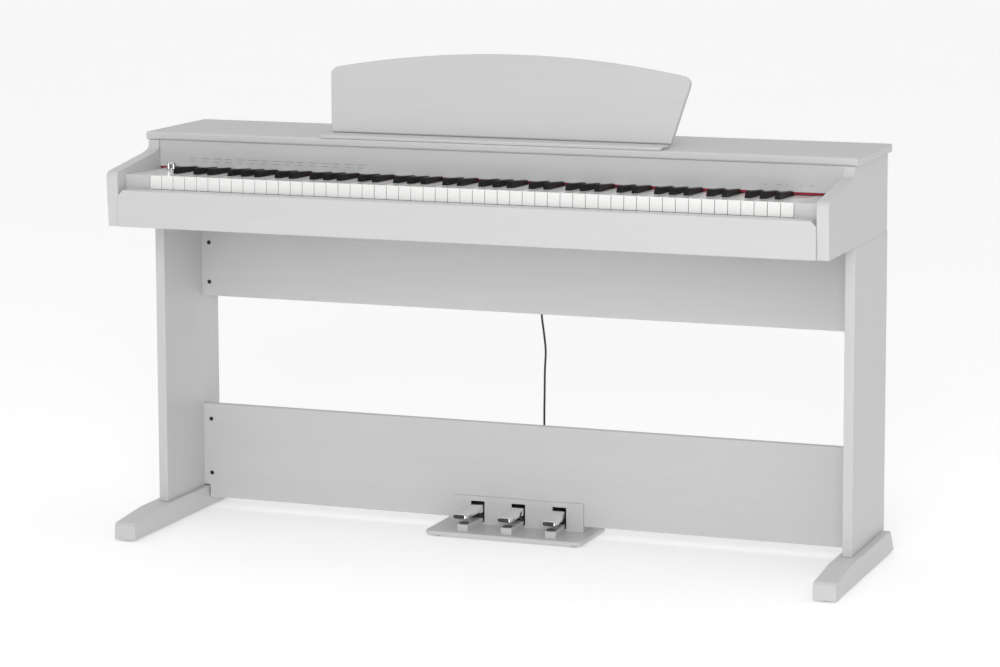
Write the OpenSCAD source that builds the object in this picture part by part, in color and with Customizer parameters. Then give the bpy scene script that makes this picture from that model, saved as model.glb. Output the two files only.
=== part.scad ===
// Digital piano on a panel stand: cabinet with 88 keys, folding music rest and three pedals.
// Millimetres. X runs along the keyboard (treble to +X), +Y to the back, +Z up.
// The origin is on the floor under the middle of the piano.

/* [Overall] */
// Depth over the feet and the key slip
depth = 444; // [440:1:450]
// Height of the cabinet's underside over the floor
cabinet_z = 598; // [590:1:610]

/* [Cabinet] */
// Width over the side panels
cabinet_w = 1364; // [1360:1:1372]
// Thickness of a side panel
side_t = 22; // [20:1:24]
// Height of the cabinet under the lid
cabinet_h = 143; // [141:1:146]
// Rear face of the cabinet
cabinet_back_y = 188; // [186:1:190]
// Thickness of the bottom, back and end boards
board_t = 15; // [14:1:16]
// Lid thickness
lid_t = 15; // [14:1:18]
// How far the lid stands over each side
lid_over = 5; // [3:1:6]
// Front edge of the lid
lid_front_y = -50; // [-52:1:-48]
// Rear edge of the lid
lid_back_y = 200; // [196:1:202]
// Radius of the lid's rounded front edge
lid_edge_r = 5; // [3:1:7]
// Height of the arms at the front, over the cabinet's underside
arm_h = 102; // [100:1:104]
// Depth of the key slip
slip_d = 32; // [28:1:32]
// Height of the key slip
slip_h = 68; // [65:1:70]
// Thickness of the control panel
panel_t = 12; // [10:1:14]
// Front face of the control panel
panel_y = -46; // [-46:1:-45]
// Gap between the cabinet's underside and the control panel's lower edge
panel_low = 93.5; // [93:0.5:94]

/* [Keyboard] */
// Pitch of the white keys
key_pitch = 23.5; // [23.4:0.05:23.5]
// Gap between neighbouring keys
key_gap = 1; // [0.8:0.1:1.2]
// From the pivot to the front of a white key
key_reach = 216; // [214:1:217]
// Length of a white key's wide head
head_len = 49; // [48:1:50]
// Height of a white key's head
head_h = 25; // [22:1:26]
// Height of a key's tail
tail_h = 14; // [12:1:14]
// Width of a black key
black_w = 10; // [9:0.5:10]
// Rise of a black key's front over the white keys
black_rise = 12; // [11:0.5:12]
// Length of a black key's cap
black_len = 86; // [84:1:87]
// Upward tilt of the keys at rest, in degrees
key_tilt = 2; // [1.8:0.1:2.1]
// Radius of the bead that the keys pivot on
bead_r = 3; // [2.5:0.1:3.2]
// Radial running clearance on the bead
bead_play = 0.05; // [0.03:0.01:0.08]

/* [Stand] */
// Leg thickness
leg_t = 18; // [16:1:18]
// Outer face of the legs, from the middle
leg_x = 680; // [678:1:682]
// Front edge of the legs
leg_front_y = -32; // [-36:1:-28]
// Foot width
foot_w = 42; // [40:1:44]
// Outer face of the feet, from the middle
foot_x = 694; // [692:1:696]
// Height of the feet over their glides
foot_h = 41; // [38:1:42]
// Front face of the stand's two panels
stand_panel_y = 128; // [124:1:130]
// Height of the upper stand panel
upper_panel_h = 178; // [170:1:182]
// Top of the lower stand panel
lower_panel_top = 207; // [200:1:212]
// Bottom of the lower stand panel
lower_panel_low = 22; // [20:1:26]
// Thickness of the glides under the feet
glide_t = 3; // [2:1:4]

/* [Pedals] */
// Middle of the pedal unit
pedal_x = -7; // [-12:1:0]
// Distance between pedals
pedal_pitch = 82; // [80:1:84]
// Width of the pedal box
pedal_box_w = 260; // [256:1:262]
// Top of the pedal box
pedal_box_top = 65; // [62:1:66]
// Distance of the pedals' pivot behind the box's front
pedal_pivot = 44; // [42:1:46]
// Width of a pedal's tip
pedal_w = 36; // [30:1:38]
// Width of a pedal's neck
pedal_neck = 22; // [20:1:23]

/* [Music rest] */
// Backward lean of the board, in degrees
rest_lean = 25; // [22:1:26]
// Width of the board at its foot
rest_foot_w = 660; // [640:1:670]
// Width of the board at its shoulders
rest_top_w = 702; // [690:1:710]
// Height of the board's shoulders
rest_shoulder_h = 130; // [125:1:132]
// Height of the board in the middle
rest_h = 162; // [158:1:164]
// Thickness of the board
rest_t = 12; // [10:1:12]
// Depth of the ledge in front of the board
ledge_d = 46; // [42:1:47]
// Thickness of the ledge
ledge_t = 6; // [5:1:7]

/* [Hidden] */
$fn = 48;
cut = 1;                                   // overshoot of a cutting shape
front_y = -depth / 2;                      // front of the arms and the key slip
rear_y = depth / 2;                        // rear of the feet
lid_z = cabinet_z + cabinet_h;             // lid underside
lid_top = lid_z + lid_t;
inner_x = cabinet_w / 2 - side_t;          // inner face of a side panel
bed_top = cabinet_z + board_t;
laminate = "whitesmoke";
key_white = "white";
key_black = [0.07, 0.07, 0.08];
steel = [0.62, 0.63, 0.65];
black_steel = [0.1, 0.1, 0.1];
chrome = [0.8, 0.81, 0.83];

// keyboard
white_count = 52;                          // A0 to C8
octave_keys = 7;
keys_left = -white_count * key_pitch / 2;
two_spread = 28;                           // C sharp to D sharp
three_spread = 27;                         // F sharp to G sharp to A sharp
notch_play = 1;                            // clearance on each side of a black key
key_front_y = front_y + 36;
pivot_y = key_front_y + key_reach;
key_top = cabinet_z + 93;                  // top of the white keys at their front
top_over_pivot = 8;                        // key top over the pivot, square to the key
pivot_z = key_top - top_over_pivot - key_reach * sin(key_tilt);
tail_back = 6;                             // key length behind the pivot
c4_key = 23;                               // number of white keys under C4
frame_t = 2;

// control panel
panel_z = cabinet_z + panel_low;
felt_h = 4.6;
felt_t = 6;

// end blocks and volume control
block_x = white_count * key_pitch / 2 + key_gap / 2;
block_wall = 12;
block_drop = 4;                            // the blocks' tops fall to the back like the keys
pad_top = key_top - 1.5;                   // flat pad under the knob
knob_x = -622;
knob_y = -76;
knob_r = 7.5;
knob_h = 13;
stem_r = 2.9;
stem_play = 0.05;

// speakers
speaker_x = 430;
speaker_y = 84;
speaker_r = 34;

// sockets
socket_w = 150;
socket_h = 26;
socket_y = 150;
jack_r = 3.2;
jack_depth = 18;
dc_r = 2.8;
dc_depth = 10;
button_r = 5;
button_travel = 2.5;
plug_x = 22;
plug_y = 172;
plug_r = 4.5;
pin_r = 1.75;

// stand
leg_in = leg_x - leg_t;                    // inner face of a leg
foot_top = glide_t + foot_h;
foot_in = foot_x - foot_w;
leg_back_y = lid_back_y;
stand_panel_back = stand_panel_y + board_t;
notch_x = foot_in - 2.5;                   // inner edge of the notches over the feet
screw_x = leg_in - 16.5;
screw_r = 2.2;
screw_len = 24;
upper_low = cabinet_z - upper_panel_h;
upper_screws = [upper_low + 27, upper_low + 104];
lower_screws = [70, 177];
bracket_t = 2;
bracket_w = 28;
bracket_len = 120;

// pedals
base_t = 8;
base_z = glide_t + base_t;
base_front_y = 44;
box_wall = 3;
box_front_y = stand_panel_y - 2;
box_back_y = box_front_y + 64;
shaft_y = box_front_y + pedal_pivot;
shaft_z = 40;
shaft_r = 4;
slot_w = 27.5;
slot_low = 15;
slot_top = 55.5;
pedal_tip_y = 44;
pad_y = 68;
rib_h = 13;                               // ribs under the pedals
rib_w = 22;
rib_front_y = pad_y - 9;
pad_t = 2.5;
spring_y = shaft_y - 26;
spring_r = 6;
wire_r = 0.9;
spring_turns = 5;
spring_top = 37.5;
spring_gap = 0.1;
pedal_offsets = [-pedal_pitch, 0, pedal_pitch];
pedal_splay = 7 / pedal_pitch;             // how far an outer tip leans outwards, per offset

// music rest
rest_y = 4;                                // front lower edge of the board
rest_z = lid_top + 7;
ledge_y = -49;
hinge_x = 235;
hinge_w = 40;
hinge_r = 2.8;
hinge_pin_r = 1.2;
leaf_t = 1.5;
hinge_back = rest_t + hinge_r + 0.3;       // pin's distance behind the board's front face
hinge_up = 2.9;                            // pin's height along the board
hinge_y = rest_y + hinge_back * cos(rest_lean) + hinge_up * sin(rest_lean);
hinge_z = rest_z - hinge_back * sin(rest_lean) + hinge_up * cos(rest_lean);

// pedal cable, from the pedal box to the plug under the cabinet
cable_r = 2;
gland_x = -100;
gland_z = 36;
gland_len = 12;
cable_sides = 8;
cable_steps = 3;                           // rings between two points of the route
cable_route = [
    [-100, 202, 36], [-100, 205, 36], [-100, 210, 34], [-100, 214, 28], [-100, 216, 20],
    [-98, 216, 11], [-92, 216, 5], [-84, 216, 2.4], [-66, 215, 2.2], [-46, 214, 2.2],
    [-24, 213, 2.2], [-4, 212, 2.4], [8, 211, 5], [17, 210, 12], [21, 209, 24],
    [22, 208, 45], [21, 206, 80], [19, 204, 120], [18, 203, 165], [18, 202, 210],
    [19, 201, 255], [20, 200, 300], [22, 199, 338], [19, 198, 372], [15, 197, 405],
    [14, 194, 445], [16, 188, 480], [20, 178, 508], [22, 172.5, 521],
    [22, 172, 528], [22, 172, 533]
];

// ---- helpers ----

// extrudes a (y, z) profile along X, centred
module along_x(len) {
    translate([-len / 2, 0, 0]) rotate([90, 0, 90]) linear_extrude(len) children();
}

// extrudes an (x, z) profile from y0 to y1
module along_y(y0, y1) {
    translate([0, y1, 0]) rotate([90, 0, 0]) linear_extrude(y1 - y0) children();
}

module both_sides() {
    children();
    mirror([1, 0, 0]) children();
}

module box(x0, x1, y0, y1, z0, z1) {
    translate([x0, y0, z0]) cube([x1 - x0, y1 - y0, z1 - z0]);
}

module rod_x(x0, x1, y, z, r) {
    translate([x0, y, z]) rotate([0, 90, 0]) cylinder(h = x1 - x0, r = r);
}

module rod_y(x, y0, y1, z, r) {
    translate([x, y1, z]) rotate([90, 0, 0]) cylinder(h = y1 - y0, r = r);
}

// points of an arc from angle a0 to a1 in n steps
function arc(cx, cy, r, a0, a1, n) =
    [for (i = [0:n]) let (a = a0 + (a1 - a0) * i / n) [cx + r * cos(a), cy + r * sin(a)]];

// ---- cabinet ----

// side profile: low arm in front, rising gently to the upright front under the lid
module side_profile() {
    corner_r = 12;
    rise = 24;                             // rise of the arm from its front to the panel
    slope_y0 = front_y + 14;
    slope_y1 = panel_y - 14;
    arm_top = cabinet_z + arm_h;
    bend_r = 14;
    polygon(concat(
        [[cabinet_back_y, cabinet_z], [cabinet_back_y, lid_z], [panel_y - 3, lid_z]],
        arc(panel_y - 3 - bend_r, arm_top + rise + bend_r - 2, bend_r, 0, -82, 6),
        [[slope_y1 - 16, arm_top + rise - 5], [slope_y0, arm_top]],
        arc(front_y + corner_r, arm_top - corner_r, corner_r, 96, 180, 6),
        [[front_y, cabinet_z]]));
}

module side_panel() {
    color(laminate)
        translate([inner_x + side_t / 2, 0, 0]) along_x(side_t) side_profile();
}

module left_side_panel() { mirror([1, 0, 0]) side_panel(); }
module right_side_panel() { side_panel(); }

module lid() {
    r = lid_edge_r;
    color(laminate) along_x(cabinet_w + 2 * lid_over) {
        translate([lid_front_y + r, lid_z]) square([lid_back_y - lid_front_y - r, lid_t]);
        translate([lid_front_y, lid_z + r]) square([r, lid_t - 2 * r]);
        for (z = [lid_z + r, lid_top - r]) translate([lid_front_y + r, z]) circle(r);
    }
}

module key_slip() {
    edge_r = 4;
    corner = 10;                           // cut corners at the top of both ends
    slip_back = front_y + slip_d;
    top = cabinet_z + slip_h;
    color(laminate) difference() {
        along_x(2 * inner_x) {
            translate([front_y + edge_r, cabinet_z]) square([slip_d - edge_r, slip_h]);
            translate([front_y, cabinet_z]) square([edge_r, slip_h - edge_r]);
            translate([front_y + edge_r, top - edge_r]) circle(edge_r);
        }
        both_sides() along_y(front_y - cut, slip_back + cut) polygon([
            [inner_x + cut, top + cut], [inner_x - corner - cut, top + cut],
            [inner_x + cut, top - corner - cut]]);
    }
}

// cover beside the keys: a top and a front plate with a rounded edge between them
module end_block() {
    edge_r = 2;
    back = panel_y - 0.5;
    module profile() {
        difference() {
            polygon(concat(
                arc(key_front_y + edge_r, key_top - edge_r, edge_r, 90, 180, 4),
                [[key_front_y, bed_top], [back, bed_top], [back, key_top - block_drop]]));
            translate([key_front_y + block_wall, bed_top - cut])
                square([back - key_front_y, key_top - bed_top - block_wall + cut]);
        }
    }
    width = inner_x - block_x;
    translate([block_x + width / 2, 0, 0]) along_x(width) profile();
}

module end_blocks() {
    pad_x = [-inner_x + 14, -block_x - 1];
    pad_ys = [knob_y - 22, knob_y + 26];
    color(laminate) {
        end_block();
        difference() {
            union() {
                mirror([1, 0, 0]) end_block();
                box(pad_x[0], pad_x[1], pad_ys[0], pad_ys[1], key_top - block_drop - 1, pad_top);
            }
            translate([knob_x, knob_y, key_top - block_wall - cut])
                cylinder(h = block_wall + 2 * cut, r = 3.6);
        }
    }
}

module control_panel() {
    color(laminate) box(-inner_x, inner_x, panel_y, panel_y + panel_t, panel_z, lid_z);
}

module felt_strip() {
    color("crimson") box(-inner_x + cut, inner_x - cut, panel_y + 2, panel_y + 2 + felt_t,
        panel_z - felt_h, panel_z);
}

module key_bed() {
    color(laminate) difference() {
        box(-inner_x, inner_x, front_y + slip_d, cabinet_back_y - board_t, cabinet_z, bed_top);
        both_sides() translate([speaker_x, speaker_y, cabinet_z - cut])
            cylinder(h = board_t + 2 * cut, r = speaker_r);
    }
}

module cabinet_back() {
    color(laminate) box(-inner_x, inner_x, cabinet_back_y - board_t, cabinet_back_y,
        cabinet_z, lid_z);
}

// ---- keyboard ----

// letter of white key k, C = 0 to B = 6
function letter(k) = (k + 5) % octave_keys;
function octave_x(k) = keys_left + key_pitch * (k - letter(k));
// centre of the black key to the right of a letter, from the octave's left edge
function black_centre(l) =
    l < 2 ? 1.5 * key_pitch + (l - 0.5) * two_spread
          : 5 * key_pitch + (l - 4) * three_spread;
function has_black(l) = l != 2 && l != 6;
notch_half = black_w / 2 + notch_play;
function tail_left(k) = let (l = letter(k), p = (l + 6) % 7)
    k > 0 && has_black(p) ? octave_x(k) + black_centre(p) + notch_half
                          : keys_left + k * key_pitch + key_gap / 2;
function tail_right(k) = let (l = letter(k))
    k < white_count - 1 && has_black(l) ? octave_x(k) + black_centre(l) - notch_half
                                        : keys_left + (k + 1) * key_pitch - key_gap / 2;

module on_pivot() {
    translate([0, pivot_y, pivot_z]) rotate([-key_tilt, 0, 0]) children();
}

// open hook that snaps over the bead
module pivot_cut(x0, x1) {
    slot = 2 * bead_r - 1.2;
    rod_x(x0 - cut, x1 + cut, 0, 0, bead_r + bead_play);
    box(x0 - cut, x1 + cut, -slot / 2, slot / 2, -tail_h, 0);
}

module white_key(k) {
    x0 = keys_left + k * key_pitch + key_gap / 2;
    x1 = x0 + key_pitch - key_gap;
    t0 = tail_left(k);
    t1 = tail_right(k);
    on_pivot() difference() {
        union() {
            box(x0, x1, -key_reach, -key_reach + head_len, top_over_pivot - head_h, top_over_pivot);
            box(t0, t1, -key_reach + head_len - cut, tail_back,
                top_over_pivot - tail_h, top_over_pivot);
        }
        pivot_cut(t0, t1);
    }
}

// black key to the right of white key k
module black_key(k) {
    x = octave_x(k) + black_centre(letter(k));
    cap_front = -key_reach + head_len + notch_play;
    cap_back = cap_front + black_len;
    body_top = top_over_pivot - 2;
    cap_top = top_over_pivot + black_rise;
    drop = 4;                              // the cap is lower at its back
    rake = 6;                              // the cap's front leans back
    on_pivot() translate([x, 0, 0]) difference() {
        along_x(black_w) polygon([
            [cap_front, top_over_pivot - tail_h], [cap_front, body_top],
            [cap_front + rake, cap_top], [cap_back, cap_top - drop], [cap_back, body_top],
            [tail_back, body_top], [tail_back, top_over_pivot - tail_h]]);
        pivot_cut(-black_w / 2, black_w / 2);
    }
}

module white_keys(first, last) {
    color(key_white) for (k = [first:last]) white_key(k);
}

module black_keys(first, last) {
    color(key_black) for (k = [first:last]) if (has_black(letter(k))) black_key(k);
}

// sheet frame under the keys: base, front rail, and the rear rail with its bead
module keyboard_frame() {
    half = white_count * key_pitch / 2;
    rail_y = [key_front_y + 10, key_front_y + 36];
    rail_top = cabinet_z + 56;
    web = 2.4;
    color(steel) {
        box(-half, half, rail_y[0], pivot_y + 10, bed_top, bed_top + frame_t);
        for (y = rail_y) box(-half, half, y - frame_t / 2, y + frame_t / 2, bed_top, rail_top);
        box(-half, half, rail_y[0] - frame_t / 2, rail_y[1] + frame_t / 2,
            rail_top, rail_top + frame_t);
        box(-half, half, pivot_y - web / 2, pivot_y + web / 2, bed_top, pivot_z);
        rod_x(-half, half, pivot_y, pivot_z, bead_r);
    }
}

strip_y = [pivot_y - 92, pivot_y - 62];
scan_z = cabinet_z + 58;

module contact_strips() {
    color("dimgray") for (s = [0:3]) {
        len = white_count * key_pitch / 4 - 2;
        x = keys_left + (s + 0.5) * white_count * key_pitch / 4;
        translate([x, 0, scan_z + 1.6]) along_x(len)
            polygon([[strip_y[0] + 6, 0], [strip_y[1] - 6, 0],
                     [strip_y[1] - 10, 9], [strip_y[0] + 10, 9]]);
    }
}

module circuit_boards() {
    post_w = 8;
    color("seagreen") {
        for (s = [0, 1]) {
            x0 = keys_left + s * white_count * key_pitch / 2 + 1;
            x1 = x0 + white_count * key_pitch / 2 - 2;
            box(x0, x1, strip_y[0], strip_y[1], scan_z, scan_z + 1.6);
            for (x = [x0 + 40, (x0 + x1) / 2, x1 - 40])
                box(x - post_w / 2, x + post_w / 2, strip_y[0] + 11, strip_y[0] + 11 + post_w,
                    bed_top + frame_t, scan_z + 0.2);
        }
        box(-110, 110, 60, 150, bed_top + 6, bed_top + 7.6);
        for (x = [-100, 100], y = [68, 142])
            translate([x, y, bed_top]) cylinder(h = 6.4, r = 3);
        box(-30, 0, 90, 120, bed_top + 7, bed_top + 10.5);
    }
}

// round loudspeakers over the holes in the key bed, facing down
module speakers() {
    flange_r = speaker_r + 8;
    magnet_r = 22;
    color([0.12, 0.12, 0.13]) both_sides() translate([speaker_x, speaker_y, bed_top])
        rotate_extrude() polygon([
            [0, 4], [14, 2], [speaker_r - 6, 0], [flange_r, 0], [flange_r, 4],
            [speaker_r - 2, 6], [magnet_r, 26], [magnet_r, 42], [0, 42]]);
}

module speaker_grilles() {
    holes = [8, 16, 24, 31];
    plate_t = 2;
    color(black_steel) both_sides() translate([speaker_x, speaker_y, cabinet_z - plate_t])
        difference() {
            cylinder(h = plate_t, r = speaker_r + 4);
            for (r = holes, i = [0:5]) rotate(60 * i + r * 3) translate([r, 0, -cut])
                cylinder(h = plate_t + 2 * cut, r = 3.4, $fn = 16);
        }
}

// ---- volume, power and sockets ----

module volume_knob() {
    z0 = pad_top + 0.4;
    color(chrome) translate([knob_x, knob_y, 0]) {
        translate([0, 0, z0]) rotate_extrude() polygon([
            [0, 0], [knob_r, 0], [knob_r, knob_h - 1], [knob_r - 1, knob_h], [0, knob_h]]);
        translate([0, 0, key_top - block_wall - 6]) cylinder(h = z0 - key_top + block_wall + 7,
            r = stem_r);
    }
}

module volume_pot() {
    top = key_top - block_wall;
    color(steel) translate([knob_x, knob_y, 0]) difference() {
        union() {
            translate([-9, -9, top - 9]) cube([18, 18, 9]);
            translate([0, 0, top - cut]) cylinder(h = block_wall - 2, r = 3.5);
        }
        translate([0, 0, top - 7]) cylinder(h = block_wall + 8, r = stem_r + stem_play);
    }
}

module socket_panel() {
    z0 = cabinet_z - socket_h;
    zc = cabinet_z - socket_h / 2;
    back = cabinet_back_y;
    color(black_steel) difference() {
        box(-socket_w / 2, socket_w / 2, socket_y, back, z0, cabinet_z);
        rod_y(55, back - jack_depth, back + cut, zc, jack_r);
        rod_y(-30, back - dc_depth, back + cut, zc, dc_r);
        box(-4.2, 4.2, back - 9, back + cut, zc - 4, zc + 4);
        rod_y(-58, back - 14, back + cut, zc, button_r + 0.3);
        translate([plug_x, plug_y, z0 - cut]) cylinder(h = 15 + cut, r = pin_r + 0.05);
    }
}

module power_button() {
    zc = cabinet_z - socket_h / 2;
    color("gray") rod_y(-58, cabinet_back_y - 14 + button_travel + 0.5, cabinet_back_y + 3.5,
        zc, button_r);
}

// ---- music rest ----

module music_ledge() {
    color(laminate) box(-rest_foot_w / 2, rest_foot_w / 2, ledge_y, ledge_y + ledge_d,
        lid_top, lid_top + ledge_t);
}

// board outline, foot at y = 0: sides widen to round shoulders under a long flat arch
module rest_outline() {
    half = rest_top_w / 2;
    shoulder_r = 12;
    sag = rest_h - rest_shoulder_h;
    span = half - 12;
    arch_r = (span * span + sag * sag) / (2 * sag);
    swing = asin(span / arch_r);
    side = arc(half - shoulder_r, rest_shoulder_h - shoulder_r - 1, shoulder_r, -10, 70, 5);
    arch = arc(0, rest_h - arch_r, arch_r, 90 - swing, 90 + swing, 40);
    polygon(concat([[-rest_foot_w / 2, 0], [rest_foot_w / 2, 0]], side, arch,
        [for (i = [len(side) - 1:-1:0]) [-side[i][0], side[i][1]]]));
}

module leaning(y, z) {
    translate([0, y, z]) rotate([-rest_lean, 0, 0]) children();
}

module music_board() {
    color(laminate) leaning(rest_y, rest_z)
        translate([0, rest_t, 0]) rotate([90, 0, 0]) linear_extrude(rest_t) rest_outline();
}

hinge_xs = [-hinge_x, hinge_x];
knuckle = hinge_w / 5;

// leaves on the lid, with two outer knuckles, the middle one and the pin
module fixed_hinge_leaves() {
    color(steel) for (x = hinge_xs) {
        box(x - hinge_w / 2, x + hinge_w / 2 - 0.2, rest_y - 6, hinge_y - hinge_r - 0.8,
            lid_top, lid_top + leaf_t);
        difference() {
            for (i = [0, 2, 4]) {
                x0 = x - hinge_w / 2 + i * knuckle;
                rod_x(x0, x0 + knuckle - 0.2, hinge_y, hinge_z, hinge_r);
                box(x0, x0 + knuckle - 0.2, hinge_y - hinge_r, hinge_y, lid_top, hinge_z);
                box(x0, x0 + knuckle - 0.2, rest_y, hinge_y, lid_top, lid_top + leaf_t);
            }
            rod_x(x - hinge_w, x + hinge_w, hinge_y, hinge_z, hinge_pin_r);
        }
        rod_x(x - hinge_w / 2, x + hinge_w / 2 - 0.2, hinge_y, hinge_z, hinge_pin_r);
    }
}

// leaves on the back of the board, with two knuckles each
module board_hinge_leaves() {
    leaf_h = 24;
    leaf_low = hinge_up + hinge_r + 0.6;   // the leaf starts above the other leaf's knuckles
    color(steel) for (x = hinge_xs) difference() {
        union() {
            leaning(rest_y, rest_z)
                box(x - hinge_w / 2, x + hinge_w / 2, rest_t, rest_t + leaf_t,
                    leaf_low, leaf_h);
            for (i = [1, 3]) {
                x0 = x - hinge_w / 2 + i * knuckle;
                rod_x(x0, x0 + knuckle - 0.2, hinge_y, hinge_z, hinge_r);
                leaning(rest_y, rest_z)
                    box(x0, x0 + knuckle - 0.2, rest_t, rest_t + leaf_t,
                        1.2, leaf_low + cut);
            }
        }
        rod_x(x - hinge_w, x + hinge_w, hinge_y, hinge_z, hinge_pin_r + 0.05);
    }
}

// ---- stand ----

module leg() {
    color(laminate) box(leg_in, leg_x, leg_front_y, leg_back_y, foot_top, cabinet_z);
}

module left_leg() { mirror([1, 0, 0]) leg(); }
module right_leg() { leg(); }

module foot() {
    low = foot_top - 9;                    // height of the front end
    color(laminate) translate([foot_x - foot_w / 2, 0, 0]) along_x(foot_w) polygon([
        [front_y + 29, glide_t], [rear_y, glide_t], [rear_y - 26, foot_top],
        [front_y + 136, foot_top], [front_y + 37, low], [front_y + 32, low - 4]]);
}

module left_foot() { mirror([1, 0, 0]) foot(); }
module right_foot() { foot(); }

module screw_holes(zs) {
    for (z = zs) both_sides()
        rod_y(screw_x, stand_panel_y - cut, stand_panel_back + cut, z, screw_r);
}

module upper_back_panel() {
    color(laminate) difference() {
        box(-leg_in, leg_in, stand_panel_y, stand_panel_back, upper_low, cabinet_z);
        screw_holes(upper_screws);
    }
}

module lower_back_panel() {
    fit = 0.5;
    half = pedal_box_w / 2 + fit;
    color(laminate) difference() {
        box(-leg_in, leg_in, stand_panel_y, stand_panel_back, lower_panel_low, lower_panel_top);
        both_sides() box(notch_x, leg_in + cut, stand_panel_y - cut, stand_panel_back + cut,
            0, foot_top + 2.5);
        box(pedal_x - half, pedal_x + half, stand_panel_y - cut, stand_panel_back + cut,
            0, pedal_box_top + fit);
        screw_holes(lower_screws);
    }
}

// steel angles behind the panels, against the legs
module corner_brackets() {
    module bracket(z0, zs) {
        difference() {
            union() {
                box(leg_in - bracket_w, leg_in, stand_panel_back, stand_panel_back + bracket_t,
                    z0, z0 + bracket_len);
                box(leg_in - bracket_t, leg_in, stand_panel_back, stand_panel_back + bracket_w,
                    z0, z0 + bracket_len);
            }
            for (z = zs) rod_y(screw_x, stand_panel_back - cut,
                stand_panel_back + bracket_t + cut, z, screw_r);
        }
    }
    color(black_steel) both_sides() {
        bracket(upper_low + 5, upper_screws);
        bracket(lower_screws[0] - 8, lower_screws);
    }
}

// dark screws through the panels into the angles
module panel_screws() {
    head_r = 4;
    head_t = 1.2;
    color(black_steel) for (z = concat(upper_screws, lower_screws)) both_sides() {
        rod_y(screw_x, stand_panel_y, stand_panel_y + screw_len, z, screw_r);
        rod_y(screw_x, stand_panel_y - head_t, stand_panel_y, z, head_r);
    }
}

module foot_glides() {
    color(black_steel) {
        for (y = [front_y + 52, rear_y - 40]) both_sides()
            translate([foot_x - foot_w / 2, y, 0]) cylinder(h = glide_t, r = 12);
        for (dx = [-135, 135], y = [base_front_y + 18, box_back_y - 20])
            translate([pedal_x + dx, y, 0]) cylinder(h = glide_t, r = 8);
    }
}

// ---- pedals ----

// sideways lean of a pedal at depth y
function lean(dx, y) =
    pedal_splay * dx * max(0, (box_front_y - y) / (box_front_y - pedal_tip_y));

// cover over the pedals' inner ends, open below, with three slots
module pedal_box() {
    half = pedal_box_w / 2;
    wall = box_wall;
    color(laminate) difference() {
        box(pedal_x - half, pedal_x + half, box_front_y, box_back_y, base_z, pedal_box_top);
        box(pedal_x - half + wall, pedal_x + half - wall, box_front_y + wall, box_back_y - wall,
            base_z - cut, pedal_box_top - wall);
        for (dx = pedal_offsets) box(pedal_x + dx - slot_w / 2, pedal_x + dx + slot_w / 2,
            box_front_y - cut, box_front_y + wall + cut, slot_low, slot_top);
        rod_x(pedal_x - half - cut, pedal_x + half + cut, shaft_y, shaft_z, shaft_r);
        rod_y(gland_x, box_back_y - wall - cut, box_back_y + cut, gland_z, 3.5);
    }
}

module pedal_base() {
    half = 155;
    corner_r = 12;
    back = box_back_y;
    color(laminate) {
        translate([pedal_x - 3, 0, glide_t]) linear_extrude(base_t) {
            translate([-half, base_front_y + corner_r])
                square([2 * half, back - base_front_y - corner_r]);
            translate([-half + corner_r, base_front_y])
                square([2 * (half - corner_r), corner_r + cut]);
            for (s = [-1, 1]) translate([s * (half - corner_r), base_front_y + corner_r])
                circle(corner_r);
        }
        for (dx = pedal_offsets)
            let (x1 = pedal_x + dx, x0 = x1 + lean(dx, rib_front_y), w = rib_w / 2)
                translate([0, 0, base_z - cut]) linear_extrude(rib_h + cut) polygon([
                    [x0 - w, rib_front_y], [x0 + w, rib_front_y],
                    [x1 + w, box_front_y], [x1 - w, box_front_y]]);
    }
}

module pedal_pads() {
    color(black_steel) for (dx = pedal_offsets)
        translate([pedal_x + dx + lean(dx, pad_y), pad_y, base_z + rib_h])
            cylinder(h = pad_t, r = 9);
}

module pedal_shaft() {
    half = pedal_box_w / 2;
    color(steel) rod_x(pedal_x - half, pedal_x + half, shaft_y, shaft_z, shaft_r);
}

// lever: wide round tip, narrower neck through the slot, hub on the shaft
module pedal(dx) {
    tip_r = 14;
    half = pedal_w / 2;
    neck = pedal_neck / 2;
    tip = pedal_tip_y;
    hub_r = 8;
    outline = concat(
        arc(half - tip_r, tip + tip_r, tip_r, -80, 0, 6),
        [[half, tip + 26], [half - 2, tip + 42], [neck + 1, tip + 66],
         [neck, tip + 74], [neck, shaft_y],
         [-neck, shaft_y], [-neck, tip + 74], [-neck - 1, tip + 66],
         [-half + 2, tip + 42], [-half, tip + 26]],
        arc(-half + tip_r, tip + tip_r, tip_r, 180, 260, 6));
    color(chrome) translate([pedal_x + dx, 0, 0]) difference() {
        union() {
            intersection() {
                translate([0, 0, glide_t]) linear_extrude(pedal_box_top)
                    polygon([for (p = outline) [p[0] + lean(dx, p[1]), p[1]]]);
                along_x(pedal_w + 20) polygon(concat(
                    [[shaft_y, shaft_z - 5], [shaft_y, shaft_z + 6], [box_front_y + 8, 50],
                     [box_front_y - 12, 50], [tip + 50, 49], [tip + 26, 47.4]],
                    arc(tip + 6, 41, 5, 80, 190, 6),
                    [[tip + 4, 36.5], [tip + 24, 38], [tip + 44, 37.5], [tip + 66, 33.5],
                     [box_front_y + 5, 32], [box_front_y + 7, spring_top]]));
            }
            rod_x(-neck, neck, shaft_y, shaft_z, hub_r);
        }
        rod_x(-neck - cut, neck + cut, shaft_y, shaft_z, shaft_r + 0.05);
        translate([-half, box_front_y + 6, 0]) cube([pedal_w, 2 * spring_r + 6, spring_top]);
    }
}

module left_pedal() { pedal(-pedal_pitch); }
module middle_pedal() { pedal(0); }
module right_pedal() { pedal(pedal_pitch); }

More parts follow.
